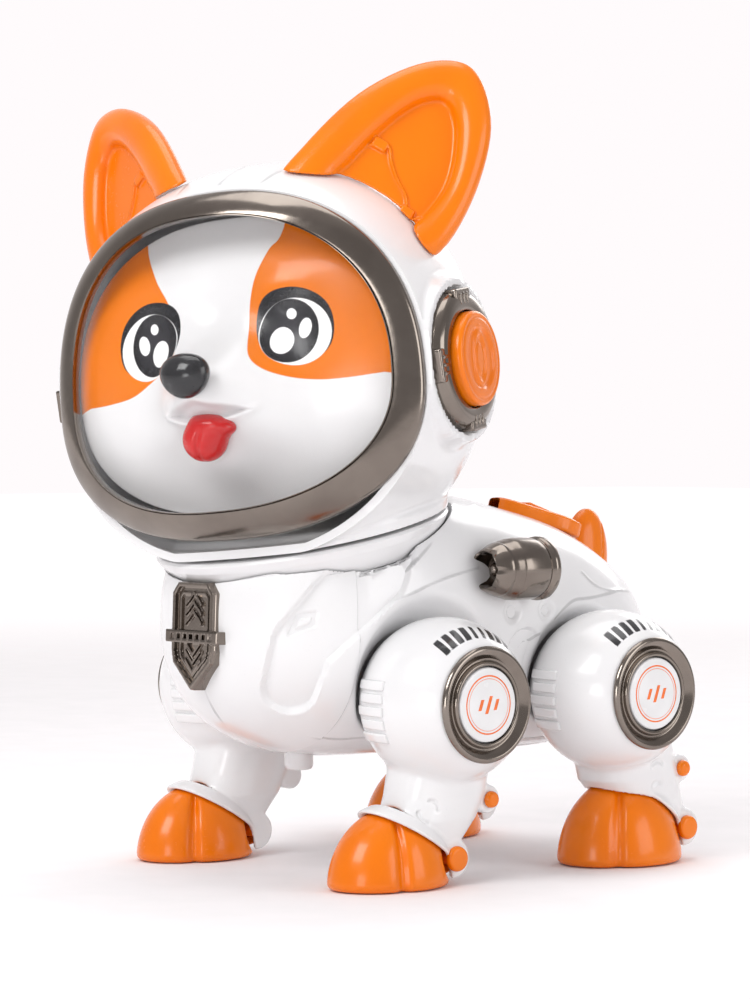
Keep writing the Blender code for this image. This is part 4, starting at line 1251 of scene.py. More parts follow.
@dataclass(frozen=True)
class Oval:
    """An oval outline in the head's front whose sides bend back."""

    half: float
    top: float
    bottom: float
    centre_z: float
    y: float
    bow: float
    tilt: float

    def points(self, count: int, grow: float = 0.0, power: float = 2.3) -> Array:
        """The outline's points, spaced evenly.

        Args:
            count: how many.
            grow: how far outside the outline they lie.
            power: the outline's squareness.

        Returns:
            The points.
        """
        angle = np.linspace(0, 2 * math.pi, 1440, endpoint=False) + 0.002
        c, s = np.cos(angle), np.sin(angle)
        x = (self.half + grow) * np.sign(c) * np.abs(c) ** (2 / power)
        z = (np.where(s > 0, self.top, self.bottom) + grow) * np.sign(s) * np.abs(s) ** (2 / power)
        loop = np.stack([x, z], 1)
        run = np.r_[0, np.cumsum(np.linalg.norm(np.diff(np.vstack([loop, loop[:1]]), axis=0), axis=1))]
        at = np.linspace(0, run[-1], count, endpoint=False)
        x, z = (np.interp(at, run, np.r_[v, v[0]]) for v in (x, z))
        return np.stack([x, self.y + self.bow * x * x / 50 + math.tan(math.radians(self.tilt)) * z,
                         self.centre_z + z], 1)

    def towards(self, other: "Oval", share: float, shift: float = 0.0) -> "Oval":
        """An oval part of the way to another one, moved along Y."""
        names = ("half", "top", "bottom", "centre_z", "y", "bow", "tilt")
        mixed = {n: (1 - share) * getattr(self, n) + share * getattr(other, n) for n in names}
        mixed["y"] += shift
        return Oval(**mixed)


RIM_OUTER = Oval(56.7, 54.75, 40.35, -4.6, -32.0, 0.13, 0.0)
RIM_INNER = Oval(49.6, 45.9, 34.1, -3.0, -40.4, 0.25, 2.4)


@dataclass
class Helmet:
    """The helmet's shell, its visor, its side pods and its ears."""

    palette: Palette
    half: float = 57.3
    top: float = 61.0
    bottom: float = 52.0
    middle_y: float = 4.0
    front: float = 60.7
    back: float = 52.0
    rim_y: float = -29.6
    wall: float = 2.2
    boss: float = 22.4
    boss_face: float = 58.0
    pocket: float = 19.8
    pocket_face: float = 56.1
    skirt_foot: float = 0.3
    skirt_top: float = 11.0

    def skin(self, stations: Array, columns: int, grow: float) -> Array:
        """Rings of the helmet at stations: those above 100 are back angles in degrees plus 100.

        Args:
            stations: the rings' places.
            columns: points to a ring.
            grow: how far outside the shape they lie.

        Returns:
            The rings.
        """
        rings = []
        for at in stations:
            if at < 100:
                y, size, top = at, 1.0, self.top * math.sqrt(1 - ((at - self.middle_y) / self.front) ** 2)
            else:
                angle = math.radians(at - 100)
                y, size = self.middle_y + (self.back + grow) * math.sin(angle), math.cos(angle)
                top = self.top * size
            bow = 0.13 * max(0.0, (self.middle_y - y) / (self.middle_y + 30.0))
            spread = grow * (size if at >= 100 else 1.0)
            rings.append(Oval(self.half * size + spread, top + spread, self.bottom * size + spread,
                              0.0, y, bow, 0.0).points(columns, 0.0, 2.2))
        return np.array(rings)

    def shaped(self, p: Array) -> Array:
        """Adds the pod bosses, the neck skirt and the flat underside.

        Args:
            p: points of the bare helmet in the head's frame.

        Returns:
            The points in the dog's frame.
        """
        p = p.copy()
        off = np.hypot(p[..., 1], p[..., 2])
        side = np.sign(p[..., 0])
        x = np.abs(p[..., 0])
        boss = self.boss_face - 3.2 * np.maximum(off - self.boss, 0)
        near = off < self.boss + 9
        x = np.where(near, smooth_max(x, boss, 2.2), x)
        floor = self.pocket_face + 4.0 * np.maximum(off - self.pocket, 0)
        x = np.where(off < self.pocket + 1.2, np.minimum(x, floor), x)
        p[..., 0] = side * x
        q = local(moved(p, HEAD), SEAM)
        out = np.maximum(np.hypot(q[..., 0], q[..., 1]), 1e-6)
        skirt = np.interp(q[..., 2], (-9.0, self.skirt_foot, 3.0, 7.0, self.skirt_top),
                          (30.0, 42.0, 42.4, 39.5, 22.0))
        wider = smooth_max(out, skirt, 2.0)
        wider = np.where(q[..., 2] < self.skirt_top, wider, out)
        q[..., :2] *= (wider / out)[..., None]
        q[..., 2] = smooth_max(q[..., 2], np.full(out.shape, self.skirt_foot), 0.5)
        q[..., 2] = np.maximum(q[..., 2], self.skirt_foot)
        return moved(q, SEAM)

    def relief(self, p: Array) -> tuple[Array, Array]:
        """Seam lines over the crown and round the ears, as heights and distances."""
        q = np.concatenate([np.abs(p[..., :1]), p[..., 1:]], -1)
        lines = [eased(line, False, 6) for line in (
            [(13.0, -27.0, 52.0), (15.0, -16.0, 55.8), (22.0, -6.0, 56.0), (24.0, 4.0, 56.0)],
            [(0.0, -26.0, 53.0), (0.0, -10.0, 59.0), (0.0, 10.0, 61.0), (0.0, 30.0, 53.0),
             (0.0, 48.0, 31.0)],
            [(57.0, 8.0, 24.0), (54.0, 9.0, 31.0), (49.0, 11.0, 38.0)],
            [(57.0, 6.0, -24.0), (50.0, 6.0, -38.0)])]
        near = np.minimum.reduce([line_distance(q, line) for line in lines])
        return -0.35 * np.exp(-(near / 0.45) ** 2), near

    def build(self) -> None:
        """Makes all the head's outer pieces."""
        columns = 440
        stations = np.r_[np.arange(self.rim_y, self.middle_y, 0.78), 100 + np.linspace(0, 90, 105)]
        outer = self.skin(stations, columns, 0.0)
        normal = np.cross(np.gradient(outer, axis=0), np.gradient(outer, axis=1))
        normal /= np.maximum(np.linalg.norm(normal, axis=-1, keepdims=True), 1e-9)
        normal *= np.sign((normal * outer).sum(-1).mean())
        height, near = self.relief(outer)
        outer = self.shaped(outer + normal * height[..., None])
        inside = np.r_[np.linspace(self.rim_y, self.middle_y, 12), 100 + np.linspace(0, 90, 14)[1:]]
        inner = self.skin(inside, columns, -self.wall)
        q = local(moved(inner, HEAD), SEAM)
        q[..., 2] = np.maximum(q[..., 2], 2.6)
        inner = moved(q, SEAM)[::-1]
        rows = np.concatenate([inner, outer])
        near = np.concatenate([np.full(inner.shape[:2], 9.0), near])
        points, quads = loft(rows)
        make_piece("helmet", points, quads, Body("head", ("helmet_shell",)), self.palette.shell,
                   {"seam": near})
        self.visor()
        for side, name in ((1, "left"), (-1, "right")):
            self.pod(side, name)
            Ear(self.palette, side, name).build(self)

    def distance(self, p: Array) -> Array:
        """A rough signed distance to the bare helmet, in the head's frame."""
        y = p[..., 1]
        front = np.sqrt(np.clip(1 - ((y - self.middle_y) / self.front) ** 2, 0.01, 1))
        back = np.sqrt(np.clip(1 - ((y - self.middle_y) / self.back) ** 2, 0.01, 1))
        ahead = y <= self.middle_y
        half = np.where(ahead, self.half, self.half * back)
        top = self.top * np.where(ahead, front, back)
        level = (np.abs(p[..., 0] / half) ** 2.2 + np.abs(p[..., 2] / top) ** 2.2) ** (1 / 2.2)
        return (level - 1) * 0.9 * np.minimum(half, top)

    def visor(self) -> None:
        """Makes the metallised ring and the clear dome inside it."""
        sections = ((0.0, 1.7), (0.0, 0.5), (0.004, 0.1), (0.02, -0.22), (0.06, -0.55), (0.2, -0.95),
                    (0.36, -1.15), (0.52, -1.15), (0.68, -0.95), (0.82, -0.6), (0.905, -0.3), (0.925, -0.2),
                    (0.935, 0.25), (0.95, 0.3), (0.962, -0.3), (0.975, -0.45), (0.99, -0.38), (1.0, 0.0),
                    (1.004, 0.6), (1.0, 3.2), (0.85, 3.6), (0.55, 4.4), (0.3, 4.2), (0.1, 3.0), (0.0, 1.7))
        rows = np.array([RIM_OUTER.towards(RIM_INNER, t, dy).points(420) for t, dy in sections])
        points, quads = loft(moved(rows, HEAD))
        make_piece("visor_bezel", points, quads, Body("head", ("visor_ring",), Slot.METAL),
                   self.palette.metal)
        edge = RIM_INNER.towards(RIM_INNER, 0.0, 0.8).points(260, -0.5)
        tip, thick = -61.97, 1.2
        levels = np.sin(np.linspace(0, math.pi / 2, 48))

        def dome(level: float, inset: float) -> Array:
            """One ring of the dome, shrunk to a level."""
            ring = edge * (level, 1.0, level)
            ring[:, 1] = tip + (edge[:, 1] - tip) * level ** 2.2 + inset
            return ring

        pole = dome(0.0, 0.0)
        pole[:, 1] = tip
        outside = [dome(s, 0.0) for s in levels[1:]]
        inside = [dome(s, thick) for s in levels[:0:-1]]
        rows = [pole, *outside, *inside, pole + (0, thick, 0)]
        points, quads = loft(moved(np.array(rows), HEAD))
        make_piece("visor_dome", points, quads, Body("head", ("visor_lens",), Slot.CLEAR),
                   self.palette.clear, None, 60)

    def pod(self, side: int, name: str) -> None:
        """Makes one side pod: a metallised bowl with clips and an orange button.

        Args:
            side: 1 on the left, -1 on the right.
            name: the side's name.
        """
        place = HEAD @ swing(90.0 * side, "Y")
        Turned(((13.4, 60.6), (15.4, 60.8), (17.2, 60.5), (18.5, 59.6), (19.2, 58.3), (19.5, 56.6),
                (13.4, 56.4)), 128, 0.5).piece(
            "pod_bowl_" + name, place, Body("head", ("pod_ring_" + name,), Slot.METAL), self.palette.metal)

        def cap(p: Array) -> Array:
            """The button: a domed disc with two ring steps and an upright oval."""
            q = p - np.array((60.4, 0, 0))
            radius = np.hypot(p[..., 1], p[..., 2])
            disc = rod(p, 0, (60.3, 0, 0), 13.0, 3.2, 1.3)
            dish = 0.9 * (1 - step(radius, 7.6, 8.9)) + 0.35 * np.exp(-((radius - 11.3) / 0.45) ** 2)
            oval = np.hypot(p[..., 1] / 3.6, p[..., 2] / 7.0)
            raised = 0.9 * np.exp(-((oval - 1.0) / 0.2) ** 2) + 0.5 * (1 - step(oval, 0.5, 0.75))
            return disc + np.where(q[..., 0] > 0, dish - raised * (radius < 9), 0.0) * 0.8

        points, faces = surface_net(cap, (56.6, -13.6, -13.6), (64.2, 13.6, 13.6), 0.36)
        make_piece("pod_button_" + name, moved(points * (side, 1, 1), HEAD), faces,
                   Body("head", ("pod_cap_" + name,), Slot.ORANGE), self.palette.orange, None, 180)

        def clips(p: Array) -> Array:
            """Three clips with ribs round the bowl."""
            best = np.full(p.shape[:-1], 1e9)
            for turn in (90.0, 180.0, 270.0):
                a = math.radians(turn + 8)
                out = p[..., 1] * math.cos(a) + p[..., 2] * math.sin(a)
                across = p[..., 2] * math.cos(a) - p[..., 1] * math.sin(a)
                q = np.stack([p[..., 0], out, across], -1)
                best = np.minimum(best, box(q, (58.6, 18.0, 0), (1.9, 1.5, 4.6), 0.5))
                for k in (-2, 0, 2):
                    best = np.minimum(best, box(q, (59.9, 16.7, k * 1.1), (1.0, 1.5, 0.5), 0.25))
            return best

        points, faces = surface_net(clips, (56.2, -21, -21), (62.0, 21, 21), 0.36)
        make_piece("pod_clips_" + name, moved(points * (side, 1, 1), HEAD), faces,
                   Body("head", (), Slot.METAL), self.palette.metal, None, 60)


@dataclass
class Ear:
    """One ear: a rolled rim round a sunk panel with a moulded clip line."""

    palette: Palette
    side: int
    name: str
    ROOT = (35.4, -7.4, 46.4)
    UP = (19.6, 20.4, 37.6)
    FACING = (0.505, -0.841, 0.1926)
    OUTLINE = ((-22.6, -10.0), (-22.4, 4.0), (-17.4, 25.0), (-7.8, 41.2), (3.0, 48.4), (12.0, 45.0),
               (20.5, 33.6), (25.6, 14.0), (24.8, -4.0), (14.0, -12.0), (-8.0, -14.0))
    DISH = ((-9.5, -2.0), (-9.0, 8.0), (-6.0, 21.0), (-1.9, 31.0), (4.0, 35.8), (10.2, 31.6), (15.6, 20.7),
            (17.2, 10.5), (14.0, -2.0), (4.0, -8.0))
    CLIP = ((-7.0, 14.0), (-2.5, 16.5), (0.5, 13.0), (4.5, 9.5), (9.5, 6.0), (12.5, 1.0), (15.5, 3.0))

    def place(self) -> Matrix:
        """The ear's own frame: X across, Y up, Z the way it faces."""
        up = Vector((self.side * self.UP[0], *self.UP[1:])).normalized()
        facing = Vector((self.side * self.FACING[0], *self.FACING[1:])).normalized()
        facing = (facing - up * facing.dot(up)).normalized()
        turn = Matrix((up.cross(facing), up, facing)).transposed().to_4x4()
        return HEAD @ Matrix.Translation((self.side * self.ROOT[0], *self.ROOT[1:])) @ turn

    def build(self, helmet: Helmet) -> None:
        """Makes the ear, cut off where it meets the helmet.

        Args:
            helmet: the helmet that it stands on.
        """
        outline, dish, clip = eased(self.OUTLINE), eased(self.DISH), eased(self.CLIP, False, 4)
        place = self.place()
        flip = np.array((self.side, 1.0, 1.0))

        def distance(p: Array) -> Array:
            """The ear in its own frame, with X mirrored on the right.

            Args:
                p: the points.

            Returns:
                The distances.
            """
            flat = p[..., :2]
            edge, inner = outline_distance(flat, outline), outline_distance(flat, dish)
            half = np.maximum((inner - edge) / 2, 1.0)
            rim = (np.hypot((edge + inner) / 2 / half, p[..., 2] / 4.0) - 1) * np.minimum(half, 4.0)
            panel = np.maximum(np.abs(p[..., 2] + 1.7) - 1.2, inner - 2.0)
            line = line_distance(flat, clip) - 0.35
            tabs = np.minimum(box(p, (-4.6, 15.6, -0.4), (2.2, 1.6, 1.2), 0.5),
                              box(p, (11.6, 2.4, -0.4), (2.0, 1.6, 1.2), 0.5))
            ridge = np.maximum(line, np.abs(p[..., 2] + 0.5) - 0.9)
            solid = smooth_min(rim, panel, 1.2)
            solid = smooth_min(solid, np.minimum(ridge, tabs), 0.5)
            solid = smooth_max(solid, edge, 0.5)
            under = local(moved(p * flip, place), HEAD)
            return smooth_max(solid, 0.35 - helmet.distance(under), 0.4)

        points, faces = surface_net(distance, (-26, -16, -4.8), (28, 51, 4.8), 0.5)
        make_piece("ear_shell_" + self.name, moved(points * flip, place), faces,
                   Body("head", ("ear_" + self.name,), Slot.ORANGE), self.palette.orange, None, 180)


@dataclass
class Face:
    """The mask behind the visor with its painted eyes, and the nose and tongue on it."""

    palette: Palette
    EYE = ((11.9, 12.5), (12.7, 18.3), (16.1, 21.4), (22.1, 22.2), (27.8, 20.4), (31.9, 16.5), (33.4, 10.9),
           (32.2, 5.4), (27.9, 2.0), (22.6, 1.1), (17.2, 3.2), (13.5, 7.0))
    PATCH_NEAR = ((18.2, 39.0), (14.6, 33.4), (11.4, 26.6), (9.8, 19.2), (9.9, 12.1), (11.0, 5.0),
                  (14.6, 0.6), (21.0, -2.3), (29.0, -3.7), (37.1, -3.7), (46.0, -3.1), (64.0, -2.0),
                  (64.0, 64.0), (22.0, 64.0))
    PATCH_FAR = ((26.0, 42.0), (24.0, 35.2), (20.4, 28.5), (16.3, 22.3), (13.9, 15.3), (13.0, 8.0),
                 (16.0, 3.4), (21.9, 0.2), (28.8, -3.0), (36.0, -4.2), (46.0, -4.6), (64.0, -4.0),
                 (64.0, 64.0), (32.0, 64.0))

    @staticmethod
    def oval(x: Array, z: Array, centre: tuple, radii: tuple, tilt: float = 0.0) -> Array:
        """The signed distance to a painted oval, close to true near its edge."""
        a, b = x - centre[0], z - centre[1]
        c, s = math.cos(tilt), math.sin(tilt)
        u, v = a * c + b * s, b * c - a * s
        level = np.hypot(u / radii[0], v / radii[1])
        return (level - 1) * level / np.maximum(np.hypot(u / radii[0] ** 2, v / radii[1] ** 2), 1e-6)

    def depth(self, x: Array, z: Array, level: Array) -> tuple[Array, Array]:
        """The mask's front and the signed distance to its open mouth."""
        a = np.abs(x)
        y = -23.0 - 9.0 * (1 - level ** 2.5) - 19.0 * np.exp(-((x / 14.0) ** 2 + ((z + 6.0) / 13.0) ** 2))
        y -= 2.2 * np.exp(-(((a - 17.0) / 9.0) ** 2 + ((z + 15.0) / 8.0) ** 2))
        y -= 1.2 * np.exp(-(((a - 20.0) / 9.0) ** 2 + ((z - 24.0) / 6.0) ** 2))
        y += 1.6 * np.exp(-((x / 7.0) ** 2 + ((z - 14.0) / 10.0) ** 2))
        y += 1.4 * np.exp(-(((a - 22.5) / 9.0) ** 2 + ((z - 11.0) / 9.0) ** 2))
        y -= 3.0 * np.exp(-((x / 8.0) ** 2 + ((z + 24.0) / 5.0) ** 2))
        roof = -8.0 - 2.8 * (a / 14.0) ** 2 + 0.9 * np.exp(-(x / 3.0) ** 2)
        floor = -13.6 + 3.6 * (a / 14.0) ** 1.8
        mouth = np.maximum(np.maximum(z - roof, floor - z), a - 13.6)
        y += 2.6 * step(-mouth, -0.5, 1.8)
        y -= 0.8 * np.exp(-((z - floor) / 1.2) ** 2) * step(16.0 - a, 0.0, 3.0)
        return y, mouth

    def build(self) -> None:
        """Makes the mask, nose and tongue."""
        edge = RIM_INNER.points(430, 0.8)
        levels = np.linspace(0, 1, 128)
        x, z = levels[:, None] * edge[:, 0], levels[:, None] * edge[:, 2]
        y, mouth = self.depth(x, z, levels[:, None] + 0 * x)
        front = np.stack([x, y, z], -1)
        back_levels = np.linspace(1, 0, 40)
        bx, bz = back_levels[:, None] * edge[:, 0], back_levels[:, None] * edge[:, 2]
        muzzle = 12.0 * np.exp(-((bx / 14.0) ** 2 + ((bz + 6.0) / 13.0) ** 2))
        by = -20.5 - 9.0 * (1 - back_levels[:, None] ** 2.5) - muzzle
        back = np.stack([bx, by, bz], -1)
        rows = np.concatenate([front, back])
        fields = self.paint(np.abs(x), z, x > 0)
        fields["mouth"] = mouth
        fields = {k: np.concatenate([v, np.full(bx.shape, 9.0)]) for k, v in fields.items()}
        points, quads = loft(moved(rows, HEAD))
        make_piece("mask", points, quads, Body("head", ("face_mask",)), self.palette.face, fields, 180)

        def nose(p: Array) -> Array:
            """A rounded, slightly flattened button, broader above."""
            wide = 1 - 0.14 * np.clip((p[..., 2] + 0.8) / 6.0, -1, 1)
            q = np.stack([p[..., 0] * wide, p[..., 1], p[..., 2]], -1)
            body = ellipsoid(q, (0, -52.2, -0.8), (7.1, 5.2, 6.1))
            for side in (-1, 1):
                off = (p[..., 0] - side * 3.2) ** 2 + ((p[..., 2] + 3.4) / 0.8) ** 2
                body = body + 0.5 * np.exp(-off) * (p[..., 1] < -52)
            return body

        points, faces = surface_net(nose, (-8.6, -58.2, -8), (8.6, -46, 6.4), 0.36)
        make_piece("nose_tip", moved(points, HEAD), faces, Body("head", ("nose",), Slot.BLACK),
                   self.palette.black, None, 180)

        def tongue(p: Array) -> Array:
            """A soft lobe with a crease down its middle."""
            q = p - np.array((0, -41.2, -16.8))
            tilt = math.radians(-14)
            u = q[..., 0] * math.cos(tilt) + q[..., 2] * math.sin(tilt)
            w = q[..., 2] * math.cos(tilt) - q[..., 0] * math.sin(tilt)
            tip = ellipsoid(np.stack([u, q[..., 1], w], -1), (-0.6, -0.6, -1.0), (6.2, 6.4, 6.0))
            root = ellipsoid(np.stack([u, q[..., 1], w], -1), (1.8, -1.4, 3.4), (6.4, 5.0, 3.0))
            crease = 0.75 * np.exp(-(u / 0.8) ** 2) * step(-q[..., 1], 0.0, 3.0) * step(-w, -3.0, 1.0)
            return smooth_min(tip, root, 3.0) + crease

        points, faces = surface_net(tongue, (-9, -49.5, -26), (10.5, -32, -6.5), 0.36)
        make_piece("tongue_tip", moved(points, HEAD), faces, Body("head", ("tongue",), Slot.RED),
                   self.palette.red, None, 180)

    def paint(self, x: Array, z: Array, left: Array) -> dict[str, Array]:
        """The signed distances of every painted shape.

        Args:
            x: how far points lie from the middle.
            z: their heights.
            left: which of them are on the left side.

        Returns:
            The distances by the shapes' names.
        """
        flat = np.stack([x, z], -1)
        patch = np.where(left, outline_distance(flat, eased(self.PATCH_NEAR)),
                         outline_distance(flat, eased(self.PATCH_FAR)))
        glints = (((18.9, 7.8), (3.1, 3.7), 0.1), ((25.1, 10.7), (1.8, 2.8), -0.25),
                  ((21.4, 14.9), (1.4, 1.5), 0.0))
        return {
            "patch": patch,
            "eye": outline_distance(flat, eased(self.EYE)),
            "sclera": self.oval(x, z, (22.7, 9.9), (10.1, 9.1), -0.35),
            "iris": self.oval(x, z, (21.0, 10.3), (8.0, 8.7)),
            "glint": np.minimum.reduce([self.oval(x, z, *g) for g in glints]),
        }


# ------------------------------------------------------------------ fittings


@dataclass
class Fittings:
    """The badge, thrusters, back panel, tail, buttons and collar."""

    palette: Palette
    SHIELD = ((-6.6, 15.0), (6.6, 15.0), (9.2, 12.0), (9.2, -4.0), (8.4, -7.5), (0.0, -15.0), (-8.4, -7.5),
              (-9.2, -4.0), (-9.2, 12.0))
    PANEL = ((-3.5, -14.5), (3.5, -14.5), (9.5, -3.0), (12.5, 6.0), (8.5, 12.5), (-8.5, 12.5), (-12.5, 6.0),
             (-9.5, -3.0))

    def build(self) -> None:
        """Makes them all."""
        self.badge()
        self.back_panel()
        self.tail()
        for side, name in ((1, "left"), (-1, "right")):
            self.thruster(side, name)
        Turned(((9.2, -0.7), (41.2, -0.7), (41.9, -1.5), (40.6, -3.8), (35.2, -9.8), (33.2, -9.8),
                (39.0, -2.9), (9.2, -2.9)), 160).piece("collar_ring", NECK, Body("torso", ("neck_collar",)),
                                         self.palette.white)
        low, high = (np.array(c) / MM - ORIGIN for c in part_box("power_button"))
        middle = (low + high) / 2
        Turned(((0, 39.0), (5.6, 39.0), (5.6, 37.2), (4.1, 37.2), (4.1, 29.9), (3.6, 28.9), (2.6, 28.6),
                (0, 28.6)), 64).piece("belly_button", stand((middle[0], middle[1], high[2] - 39.0)),
                                      Body("power_button", ("power_button",)), self.palette.white)
        low, high = (np.array(c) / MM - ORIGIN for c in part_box("door_screw"))
        middle = (low + high) / 2
        Turned(((0, 36.6), (1.4, 36.6), (1.4, 30.8), (2.8, 30.8), (2.8, 29.7), (2.0, 29.4), (0.7, 29.4),
                (0.6, 30.2), (0, 30.2)), 32, 0.1).piece(
            "door_screw_head", stand((middle[0], middle[1], high[2] - 36.6)),
            Body("battery_door", ("door_screw",), Slot.STEEL), self.palette.steel)

    def badge(self) -> None:
        """A shield in steps with a plain bar across it, chevrons above and below."""
        outline = np.array(self.SHIELD)
        inset = 3.2

        def distance(p: Array) -> Array:
            """The badge in its own frame, its face towards +Z.

            Args:
                p: the points.

            Returns:
                The distances.
            """
            flat, z = p[..., :2], p[..., 2]
            x, y = p[..., 0], p[..., 1]
            edge = outline_distance(flat, outline)
            plate = np.maximum(edge, np.abs(z - 0.2) - 4.2)
            rim = np.maximum(np.abs(edge + 0.75) - 0.6, np.abs(z - 2.0) - 3.6)
            inner = np.maximum(np.abs(edge + inset) - 0.4, np.abs(z - 1.8) - 3.2)
            bar = box(p, (0, -0.1, 1.5), (11.6, 1.75, 4.4), 0.3)
            wide = np.abs(x)
            bars = [np.maximum(np.abs(y - k + 0.9 * wide) - 0.55, wide - 3.6) for k in (12.0, 9.4, 6.8)]
            bars += [np.maximum(np.abs(y - k - wide) - 0.5, wide - 3.4) for k in (-5.0, -7.4, -9.8)]
            marks = np.maximum(np.minimum.reduce(bars), np.abs(z - 1.8) - 3.4)
            studs = np.minimum.reduce([np.maximum(np.maximum(np.abs(x - k) - 0.7, np.abs(y + 0.1) - 0.7),
                                                  np.abs(z - 2.0) - 4.2) for k in np.arange(-8.4, 9, 2.8)])
            return np.minimum.reduce([plate, rim, inner, np.maximum(bar, -studs), marks])

        place = stand((0, -78.4, 67.5), swing(88.0, "X"))
        points, faces = surface_net(distance, (-12.4, -15.8, -5.0), (12.4, 15.8, 6.6), 0.26)
        make_piece("badge_shield", moved(points, place), faces, Body("torso", ("chest_badge",), Slot.METAL),
                   self.palette.metal, None, 35)

    def thruster(self, side: int, name: str) -> None:
        """A barrel with a petalled nozzle round a bullet, its nose forwards.

        Args:
            side: 1 on the left, -1 on the right.
            name: the side's name.
        """
        profile = ((0.0, 8.9), (0.7, 8.75), (1.4, 8.2), (1.9, 7.3), (2.2, 6.2), (2.6, 5.7), (4.2, 5.8),
                   (4.6, 7.5), (4.9, 10.6), (5.1, 11.25), (5.4, 11.4), (5.75, 11.1), (6.3, 9.9),
                   (7.0, 8.4), (7.5, 7.3), (7.75, 6.4), (7.6, 6.1), (7.75, 5.8), (8.1, 4.9), (8.4, 3.6),
                   (8.6, 3.1), (8.45, 2.9), (8.6, 2.6), (8.8, 0.5), (8.85, -2.0), (8.8, -4.5),
                   (8.6, -6.6), (8.3, -7.2), (8.5, -7.5), (9.0, -7.9), (9.1, -8.6), (9.05, -9.6),
                   (8.6, -10.3), (7.4, -10.6), (0.0, -10.6))
        turn = np.linspace(0, 2 * math.pi, 144, endpoint=False)
        notch = np.clip(np.cos(3 * turn) ** 2 - 0.72, 0, 1) / 0.28
        rows = []
        for radius, height in profile:
            dip = 0.5 * step(np.array(height), 8.0, 11.0) * notch * (radius > 4)
            rows.append(np.stack([radius * np.cos(turn), radius * np.sin(turn), height - dip], -1))
        place = stand((side * 42.0, -2.0, 85.5), swing(90.0, "X"))
        points, quads = loft(moved(np.array(rows), place))
        make_piece("jet_" + name, points, quads, Body("torso", ("thruster_" + name,), Slot.METAL),
                   self.palette.metal, None, 50)

    def back_panel(self) -> None:
        """An orange panel with side ridges round the mode button."""
        outline = eased(self.PANEL, True, 5)
        place = stand((0, 43.0, 98.0), swing(-18.0, "X"))

        def panel(p: Array) -> Array:
            """The panel in its own frame."""
            edge = outline_distance(p[..., :2], outline)
            slab = smooth_max(edge, np.abs(p[..., 2]) - 2.2, 0.9)
            x, y = np.abs(p[..., 0]), p[..., 1]
            ridge = smooth_max(np.abs(edge + 2.0) - 0.7, np.abs(p[..., 2] - 0.7) - 1.9, 0.4)
            step_up = box(p, (0, -8.2, 1.0), (4.6, 3.4, 1.6), 0.5)
            mirrored = np.stack([x, y, p[..., 2]], -1)
            grips = np.minimum.reduce([box(mirrored, (6.9, k, 0.9), (1.4, 0.6, 1.6), 0.3)
                                       for k in (0.0, 2.4, 4.8)])
            solid = np.minimum(np.minimum(smooth_min(slab, ridge, 0.4), step_up), grips)
            return np.maximum(solid, -box(p, (0, 2.0, 0), (3.8, 6.8, 10.0), 0.4))

        points, faces = surface_net(panel, (-13.2, -15.4, -3.0), (13.2, 13.4, 3.2), 0.36)
        make_piece("rear_panel", moved(points, place), faces, Body("torso", ("back_panel",), Slot.ORANGE),
                   self.palette.orange, None, 180)

        def button(p: Array) -> Array:
            """A rounded key with three finger ribs."""
            key = box(p, (0, 2.0, 2.8), (3.5, 6.5, 1.5), 0.8)
            ribs = np.minimum.reduce([box(p, (0, 2.0 + k, 4.2), (2.4, 0.45, 0.35), 0.2)
                                      for k in (-2, 0, 2)])
            return smooth_min(key, ribs, 0.3)

        points, faces = surface_net(button, (-4.2, -5.2, -1.2), (4.2, 9.2, 5.2), 0.34)
        points[:, 2] = np.minimum(points[:, 2], 4.4)
        make_piece("mode_key", moved(points, place), faces,
                   Body("mode_button", ("mode_button",), Slot.ORANGE), self.palette.orange, None, 180)

    def tail(self) -> None:
        """A leaf-shaped tail with its moulding line, standing on the back."""
        place = stand(joint_at("tail_wag") * (0, 1, 1), swing(-33.0, "X"))
        c, s = math.cos(math.radians(28)), math.sin(math.radians(28))

        def leaf(p: Array) -> Array:
            """The tail in its own frame, its pin along Z."""
            y, z = p[..., 1] - 1.5, p[..., 2]
            q = np.stack([p[..., 0], y * c + z * s, z * c - y * s], -1)
            body = ellipsoid(q, (0, -0.4, 0), (5.2, 8.4, 16.3))
            line = (q[..., 1] - 2.6 - 0.006 * q[..., 2] ** 2) / 0.4
            groove = 0.35 * np.exp(-line ** 2) * (q[..., 2] > -2)
            middle = 0.25 * np.exp(-(q[..., 0] / 0.4) ** 2)
            body = smooth_max(body + groove + middle, 0.6 - z, 0.5)
            return smooth_min(body, rod(p, 2, (0, 0, -2.0), 2.4, 4.8, 0.3), 0.4)

        points, faces = surface_net(leaf, (-6.0, -16.0, -7.2), (6.0, 13.0, 18.0), 0.4)
        make_piece("tail_leaf", moved(points, place), faces, Body("tail", ("tail",), Slot.ORANGE),
                   self.palette.orange, None, 180)


# ------------------------------------------------------------------ studio


